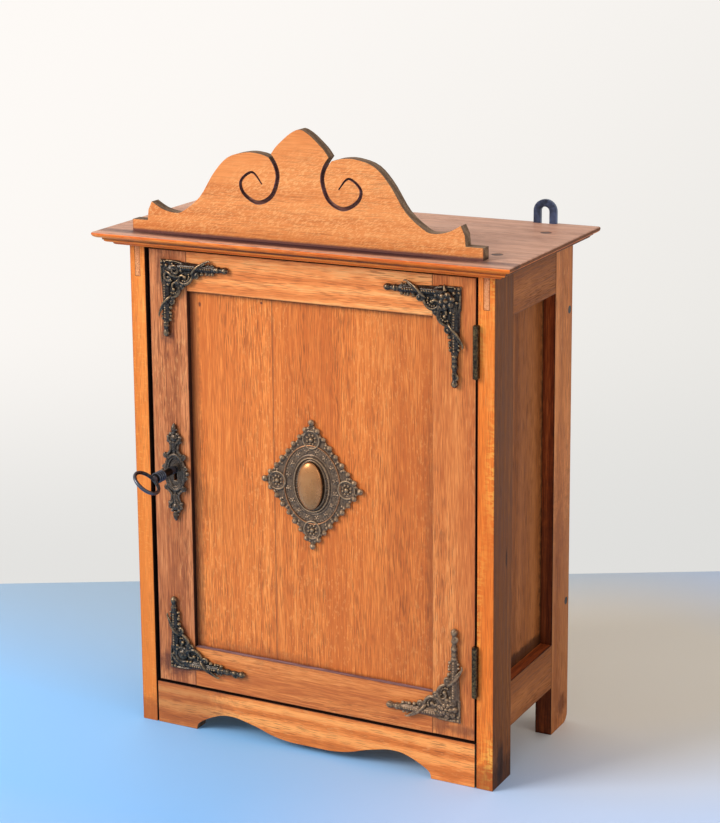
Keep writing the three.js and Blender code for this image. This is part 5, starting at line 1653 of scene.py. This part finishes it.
@dataclass
class Key:
    """The iron key in the lock: a ringed shaft, an oval bow and a bit."""

    turn_deg: float = 38.0
    shaft: float = 3.1
    thick: float = 4.3
    thick_from: float = 6.5
    ring: float = 5.7
    rings: int = 4
    ring_pitch: float = 3.3
    reach: float = 41.5
    bow: Pair = (14.1, 12.6)
    bow_half: float = 14.5
    wire: float = 1.9
    bit: Triple = (9.0, 4.0, 2.4)
    bit_end: float = 12.3

    def build(self, iron: bpy.types.Material) -> None:
        """Makes the key round its own axis and turns it as it stands in the lock.

        Args:
            iron: Its material.
        """
        work = bmesh.new()
        self.turned_shaft(work)
        self.bow_ring(work)
        size = Matrix.Diagonal((self.bit[0] * MM, self.bit[1] * MM, self.bit[2] * MM, 1.0))
        place = Matrix.Translation((self.bit[0] / 2 * MM, (self.bit_end - self.bit[1] / 2) * MM, 0.0))
        bmesh.ops.create_cube(work, size=1.0, matrix=place @ size)
        stand = Matrix.Translation(key_axis()) @ Matrix.Rotation(math.radians(self.turn_deg), 4, "Y")
        bmesh.ops.transform(work, matrix=stand, verts=work.verts[:])
        mark_relief(show("iron_key", work, iron, Body.KEY, ["key"]).data, 5)

    def turned_shaft(self, work: bmesh.types.BMesh) -> None:
        """Spins the shaft with its rings, which stand close together next to the bow.

        Args:
            work: The mesh that takes it.
        """
        profile = [(0.0, self.bit_end), (self.shaft, self.bit_end), (self.shaft, -self.thick_from),
                   (self.thick, -self.thick_from - 0.6)]
        for index in reversed(range(self.rings)):
            near = -self.reach + 1.2 + (index + 1) * self.ring_pitch
            profile += [(self.thick * 0.8, near), (self.ring * 0.92, near - 0.4), (self.ring, near - 1.15),
                        (self.ring * 0.92, near - 1.9), (self.thick * 0.8, near - 2.3)]
        profile += [(self.shaft, -self.reach), (self.shaft * 0.7, -self.reach - 2.0), (0.0, -self.reach - 2.4)]
        verts = [work.verts.new((radius * MM, along * MM, 0.0)) for radius, along in profile]
        edges = [work.edges.new(pair) for pair in zip(verts, verts[1:])]
        bmesh.ops.spin(work, geom=verts + edges, cent=(0, 0, 0), axis=(0, 1, 0), angle=FULL_TURN, steps=40,
                       use_merge=True)

    def bow_ring(self, work: bmesh.types.BMesh) -> None:
        """Spins the bow's ring and draws it into an oval.

        Args:
            work: The mesh that takes it.
        """
        before = set(work.verts)
        ring = bmesh.ops.create_circle(work, segments=20, radius=self.wire * MM,
                                       matrix=Matrix.Translation((self.bow[0] * MM, 0.0, 0.0)) @ FACING_BACK)["verts"]
        edges = list({edge for vert in ring for edge in vert.link_edges})
        bmesh.ops.spin(work, geom=ring + edges, cent=(0, 0, 0), axis=(0, 0, 1), angle=FULL_TURN, steps=72,
                       use_merge=True)
        fresh = [vert for vert in work.verts if vert not in before]
        draw = Matrix.Translation((0.0, -(self.reach + self.bow_half) * MM, 0.0)) @ Matrix.Diagonal(
            (1.0, self.bow[1] / self.bow[0], 1.0, 1.0))
        bmesh.ops.transform(work, matrix=draw, verts=fresh)


@dataclass
class ScrollGround:
    """The brown ground inside the crest board that closes its two scroll cuts from behind."""

    middle: Pair = (44 * MM, 59 * MM)
    radius: float = 25 * MM
    depth: float = 8.0 * MM
    cover: float = 0.5 * MM
    figure_middle: Triple = (0.0, 0.0, 570 * MM)
    figure_half: Triple = (100 * MM, 10 * MM, 100 * MM)

    def build(self) -> None:
        """Makes both discs inside the crest board."""
        low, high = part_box("crest_board")
        board = Board("crest_board", SCROLL_GROUND_OAK, Grain.ALONG_X, "front_oak")
        material = board.finish.material(board, Vector(self.figure_middle), Vector(self.figure_half))
        work = bmesh.new()
        for side in (-1.0, 1.0):
            spot = Vector((side * self.middle[0], high.y - self.cover - self.depth / 2, low.z + self.middle[1]))
            bmesh.ops.create_cone(work, cap_ends=True, segments=48, radius1=self.radius, radius2=self.radius,
                                  depth=self.depth, matrix=Matrix.Translation(spot) @ FACING_BACK)
        show("scroll_ground", work, material, Body.CARCASS)


@dataclass
class Screws:
    """The slotted screws of the hinges, the lock, its strike plate and the hanging plates."""

    rise: float = 0.5 * MM
    slot: float = 0.35 * MM
    inset: float = 5 * MM
    lock_head: float = 2.4 * MM
    strike_head: float = 1.9 * MM
    hanger_head: float = 3.2 * MM
    hanger_rows: Pair = (8 * MM, 24 * MM)
    hinge_head: float = 2.0 * MM
    hinge_setback: float = 6 * MM
    hinge_rows: Triple = (0.16, 0.5, 0.84)

    def head(self, work: bmesh.types.BMesh, at: Vector, way: Vector, radius: float) -> None:
        """Adds one slotted head: a disc with two half discs on it.

        Args:
            work: The mesh that takes it.
            at: Where it lies on its plate.
            way: The way it faces.
            radius: Its radius.
        """
        turn = Matrix.Translation(at) @ Vector((0.0, 0.0, 1.0)).rotation_difference(way).to_matrix().to_4x4()
        disc = {"cap_ends": True, "segments": 20, "depth": self.rise}
        bmesh.ops.create_cone(work, radius1=radius, radius2=radius, matrix=turn, **disc)
        for side in (-1.0, 1.0):
            made = bmesh.ops.create_cone(work, radius1=radius * 0.94, radius2=radius * 0.8,
                                         matrix=Matrix.Translation((0.0, 0.0, self.rise * 0.5)), **disc)["verts"]
            faces = list({face for vert in made for face in vert.link_faces})
            edges = list({edge for vert in made for edge in vert.link_edges})
            cut = bmesh.ops.bisect_plane(work, geom=made + edges + faces, plane_co=(side * self.slot, 0.0, 0.0),
                                         plane_no=(-side, 0.0, 0.0), clear_outer=True)["geom_cut"]
            rim = [part for part in cut if isinstance(part, bmesh.types.BMEdge)]
            bmesh.ops.holes_fill(work, edges=rim)
            left = {vert for vert in made if vert.is_valid} | {vert for edge in rim for vert in edge.verts}
            bmesh.ops.transform(work, matrix=turn, verts=list(left))

    def row(self, name: str, body: Body, slot: str, metal: bpy.types.Material, radius: float, way: Vector,
            spots: Iterable[Vector]) -> None:
        """Makes one set of screws.

        Args:
            name: The set's name.
            body: The body that carries it.
            slot: The record's material slot; not used.
            metal: Its metal.
            radius: The heads' radius.
            way: The way they face.
            spots: Where they lie.
        """
        work = bmesh.new()
        for spot in spots:
            self.head(work, spot, way, radius)
        show(name, work, metal, body)

    def build(self, steel: bpy.types.Material, iron: bpy.types.Material, brass: bpy.types.Material) -> None:
        """Makes all the screws.

        Args:
            steel: The metal of the lock's screws.
            iron: The metal of the hanging plates' screws.
            brass: The metal of the hinges' screws.
        """
        right, back = Vector((1.0, 0.0, 0.0)), Vector((0.0, 1.0, 0.0))
        low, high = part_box("lock_case")
        self.row("lock_screws", Body.DOOR, "lock_steel", steel, self.lock_head, back,
                 [Vector((x, high.y, z)) for x in (low.x + self.inset, high.x - self.inset)
                  for z in (low.z + self.inset, high.z - self.inset)])
        low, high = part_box("strike_plate")
        self.row("strike_screws", Body.CARCASS, "lock_steel", steel, self.strike_head, right,
                 [Vector((high.x, (low.y + high.y) / 2, z)) for z in (low.z + self.inset, high.z - self.inset)])
        hangers = [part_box(f"hanger_{side}") for side in ("left", "right")]
        self.row("hanger_screws", Body.CARCASS, "dark_iron", iron, self.hanger_head, back,
                 [Vector(((low.x + high.x) / 2, high.y, low.z + up)) for low, high in hangers
                  for up in self.hanger_rows])
        leaves = [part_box(f"hinge_leaf_door_{level}") for level in ("lower", "upper")]
        stile_edge, post_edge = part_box("door_stile_right")[1].x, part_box("front_post_right")[0].x
        for name, edge, way, body in (("door_leaf_screws", stile_edge, right, Body.DOOR),
                                      ("post_leaf_screws", post_edge, -right, Body.CARCASS)):
            self.row(name, body, "hinge_brass", brass, self.hinge_head, way,
                     [Vector((edge, high.y - self.hinge_setback, low.z + (high.z - low.z) * share))
                      for low, high in leaves for share in self.hinge_rows])


@dataclass(frozen=True)
class PhotoCamera:
    """The camera of the photograph, as fitted to the cabinet's straight edges."""

    yaw_deg: float = 29.29
    pitch_deg: float = 12.0
    roll_deg: float = -0.99
    distance: float = 2120.2 * MM
    aim: Triple = (-47.6 * MM, -64.25 * MM, 472.0 * MM)
    sensor: float = 36.0
    focal_share: float = 2192.7 / 823
    shift: Pair = (0.12, -0.15)

    def axes(self) -> tuple[Vector, Vector, Vector]:
        """Works out the camera's own directions.

        Returns:
            Its right, its up and the way back from what it looks at.
        """
        yaw, pitch, roll = (math.radians(a) for a in (self.yaw_deg, self.pitch_deg, self.roll_deg))
        back = Vector((math.sin(yaw) * math.cos(pitch), -math.cos(yaw) * math.cos(pitch), math.sin(pitch)))
        right = Vector((math.cos(yaw), math.sin(yaw), 0.0))
        up = back.cross(right)
        return (right * math.cos(roll) + up * math.sin(roll), up * math.cos(roll) - right * math.sin(roll), back)

    def place(self) -> Vector:
        """Works out where the camera stands."""
        return Vector(self.aim) + self.axes()[2] * self.distance

    def build(self) -> None:
        """Makes the camera and lets the scene look through it."""
        data = bpy.data.cameras.new("photo_camera")
        data.sensor_width = self.sensor
        data.lens = self.focal_share * self.sensor
        data.shift_x, data.shift_y = self.shift
        data.clip_end = 50.0
        camera = placed("photo_camera", data)
        right, up, back = self.axes()
        turn = Matrix((right, up, back)).transposed().to_4x4()
        camera.matrix_world = Matrix.Translation(self.place()) @ turn
        bpy.context.scene.camera = camera


@dataclass
class Studio:
    """A pale table, a pale wall behind it and soft light from the front left."""

    wall_behind: float = 495 * MM
    painted_shade_spot: Triple = (0.20, 0.29, 0.0)
    painted_shade_reach: Pair = (0.12, 0.40)
    reach: float = 6.0
    key_power: float = 88.0
    key_size: float = 1.5
    key_place: Triple = (-1.9, -2.1, 1.9)
    rim_power: float = 10.0
    rim_place: Triple = (2.2, -0.6, 1.3)
    sky_strength: float = 0.55

    def sheet(self, name: str, corners: Sequence[Triple], material: bpy.types.Material) -> None:
        """Makes one flat sheet of the stage.

        Args:
            name: The sheet's name.
            corners: Its four corners.
            material: Its material.
        """
        work = bmesh.new()
        work.faces.new([work.verts.new(corner) for corner in corners])
        mesh = meshed(name, work)
        mesh.materials.append(material)
        placed(name, mesh)

    def table_material(self) -> bpy.types.Material:
        """Makes the table, blue on the left and grey on the right, with painted shade and light on it: a bluer band
        near the cabinet, a lighter front right and a warm grey patch where its shadow falls behind on the right.

        Returns:
            The material.
        """
        material, graph, surface, place = new_material("pale_table")
        x, y, _ = graph.parts(place)
        # The bluest band, in front of and under the cabinet, is the table's blue with painted shade.
        depth = graph.span(y, -0.9, 0.3)
        colour = graph.ramp(depth, [(0.0, painted(168, 188, 210)), (0.56, painted(136, 196, 255)),
                                    (0.79, painted(144, 199, 252)), (1.0, painted(166, 190, 212))])
        # Painted light: lighter towards the front right.
        painted_light = graph.span(x, -0.05, 0.32, 0.0, 0.8)
        colour = graph.blend(painted_light, colour, painted(212, 226, 255))
        # Painted shade: a warm grey patch where the cabinet's shadow falls behind it on the right.
        away = graph.add("ShaderNodeVectorMath", operation="DISTANCE")
        graph.feed(away.inputs[0], place)
        graph.feed(away.inputs[1], self.painted_shade_spot)
        painted_shade = graph.span(away.outputs["Value"], *self.painted_shade_reach, 1.0, 0.0)
        graph.feed(surface.inputs["Base Color"], graph.blend(painted_shade, colour, painted(232, 222, 206)))
        surface.inputs["Roughness"].default_value = 0.6
        return material

    def looked_at(self, graph: Graph) -> bpy.types.NodeSocket:
        """Finds whether the backdrop is seen, straight on or in a gloss, and not lit from.

        Args:
            graph: The material's graph.

        Returns:
            One where it is seen.
        """
        light = graph.add("ShaderNodeLightPath").outputs
        seen = graph.maths("ADD", light["Is Camera Ray"], light["Is Glossy Ray"])
        return graph.maths("ADD", seen, light["Is Transmission Ray"], clamp=True)

    def wall_material(self) -> bpy.types.Material:
        """Makes the wall, which shows only from its front and glows in a painted fall of light: lighter at the upper
        left, darker to the right and towards the table.

        Returns:
            The material.
        """
        material, graph, surface, place = new_material("pale_wall")
        x, _, z = graph.parts(place)
        # Painted falloff of light: lighter at the upper left, darker to the lower right.
        share = graph.span(graph.maths("SUBTRACT", x, z), -1.3, 0.6)
        colour = graph.ramp(share, [(0.0, painted(254, 250, 246)), (1.0, painted(226, 225, 221))])
        # Painted shade: darker towards the table.
        low = graph.span(z, 0.0, 0.34, 0.75, 0.0)
        glow = graph.add("ShaderNodeEmission")
        graph.feed(glow.inputs["Color"], graph.blend(low, colour, painted(221, 221, 219)))
        surface.inputs["Base Color"].default_value = painted(232, 228, 222)
        surface.inputs["Roughness"].default_value = 0.8
        seen = graph.mixed(self.looked_at(graph), surface, glow)
        behind = graph.mixed(graph.add("ShaderNodeNewGeometry").outputs["Backfacing"], seen,
                             graph.add("ShaderNodeBsdfTransparent"))
        graph.feed(material.node_tree.nodes["Material Output"].inputs["Surface"], behind.outputs[0])
        return material

    def lamp(self, name: str, place: Triple, power: float, size: float, aim: Triple, colour: Colour) -> None:
        """Hangs one soft lamp.

        Args:
            name: The lamp's name.
            place: Where it hangs.
            power: Its power.
            size: The length of its side.
            aim: What it points at.
            colour: Its colour.
        """
        data = bpy.data.lights.new(name, "AREA")
        data.energy = power
        data.size = size
        data.color = colour[:3]
        lamp = placed(name, data)
        lamp.location = place
        lamp.rotation_euler = (Vector(aim) - Vector(place)).to_track_quat("-Z", "Y").to_euler()

    def build(self) -> None:
        """Sets up the stage, the lamps and the sky."""
        r = self.reach
        self.sheet("table", [(-r, -r, 0), (r, -r, 0), (r, r, 0), (-r, r, 0)], self.table_material())
        yaw = math.radians(PhotoCamera.yaw_deg)
        across = Vector((math.cos(yaw), math.sin(yaw), 0.0))
        away = Vector((-math.sin(yaw), math.cos(yaw), 0.0))
        foot = Vector((*PhotoCamera.aim[:2], 0.0)) + away * self.wall_behind
        up = Vector((0.0, 0.0, r))
        self.sheet("wall", [foot - across * r, foot + across * r, foot + across * r + up, foot - across * r + up],
                   self.wall_material())
        self.lamp("key_lamp", self.key_place, self.key_power, self.key_size, (0, 0, 0.3), (1.0, 0.97, 0.93, 1.0))
        self.lamp("rim_lamp", self.rim_place, self.rim_power, self.key_size, (0.1, 0, 0.3), (1.0, 0.97, 0.93, 1.0))
        world = bpy.data.worlds.new("soft_sky")
        world.use_nodes = True
        graph = Graph(world.node_tree)
        sky = world.node_tree.nodes["Background"]
        sky.inputs["Color"].default_value = (0.95, 0.97, 1.0, 1.0)
        sky.inputs["Strength"].default_value = self.sky_strength
        pale = graph.add("ShaderNodeBackground")
        pale.inputs["Color"].default_value = painted(240, 240, 238)
        choice = graph.mixed(self.looked_at(graph), sky, pale)
        graph.feed(world.node_tree.nodes["World Output"].inputs["Surface"], choice.outputs[0])
        bpy.context.scene.world = world
        bpy.context.scene.view_settings.view_transform = "Standard"


def dress_metal() -> None:
    """Gives the metal solids that stay in view their metal."""
    by_slot = {"dark_bronze": BRONZE, "worn_bronze": BOSS_BRONZE, "dark_iron": IRON, "hinge_brass": BRASS,
               "lock_steel": STEEL}
    made: dict[str, bpy.types.Material] = {}
    for part in frame["record"]["subparts"]:
        slot, node = part["material_slot"], part["node"]
        if slot not in by_slot:
            continue
        # The hanging plates take the iron with a painted blue sheen.
        finish = BLUE_SHEEN_IRON if node.startswith("hanger") else by_slot[slot]
        if finish.name not in made:
            made[finish.name] = finish.material()
        solid = frame["nodes"][node]
        solid.data.materials.clear()
        solid.data.materials.append(made[finish.name])


def main() -> None:
    """Builds the camera, the stage and every piece."""
    PhotoCamera().build()
    Studio().build()
    Woodwork().build()
    dress_metal()
    bronze = BRONZE.material()
    pale = PALE_BRONZE.material()
    for node, towards, kind, metal in (
            ("corner_mount_top_left", (1.0, -1.0), Flower.ACANTHUS, bronze),
            ("corner_mount_top_right", (-1.0, -1.0), Flower.DOME, bronze),
            ("corner_mount_bottom_right", (-1.0, 1.0), Flower.ROSE, pale),
            ("corner_mount_bottom_left", (1.0, 1.0), Flower.SHELL, bronze)):
        CornerMount(node, towards, kind).build(metal)
    Medallion().build(pale, COPPER.material(), BOSS_BRONZE.material())
    Escutcheon().build(GREY_BRONZE.material())
    iron = IRON.material()
    Key().build(iron)
    ScrollGround().build()
    Screws().build(STEEL.material(), iron, BRASS.material())


if __name__ == "__main__":
    main()
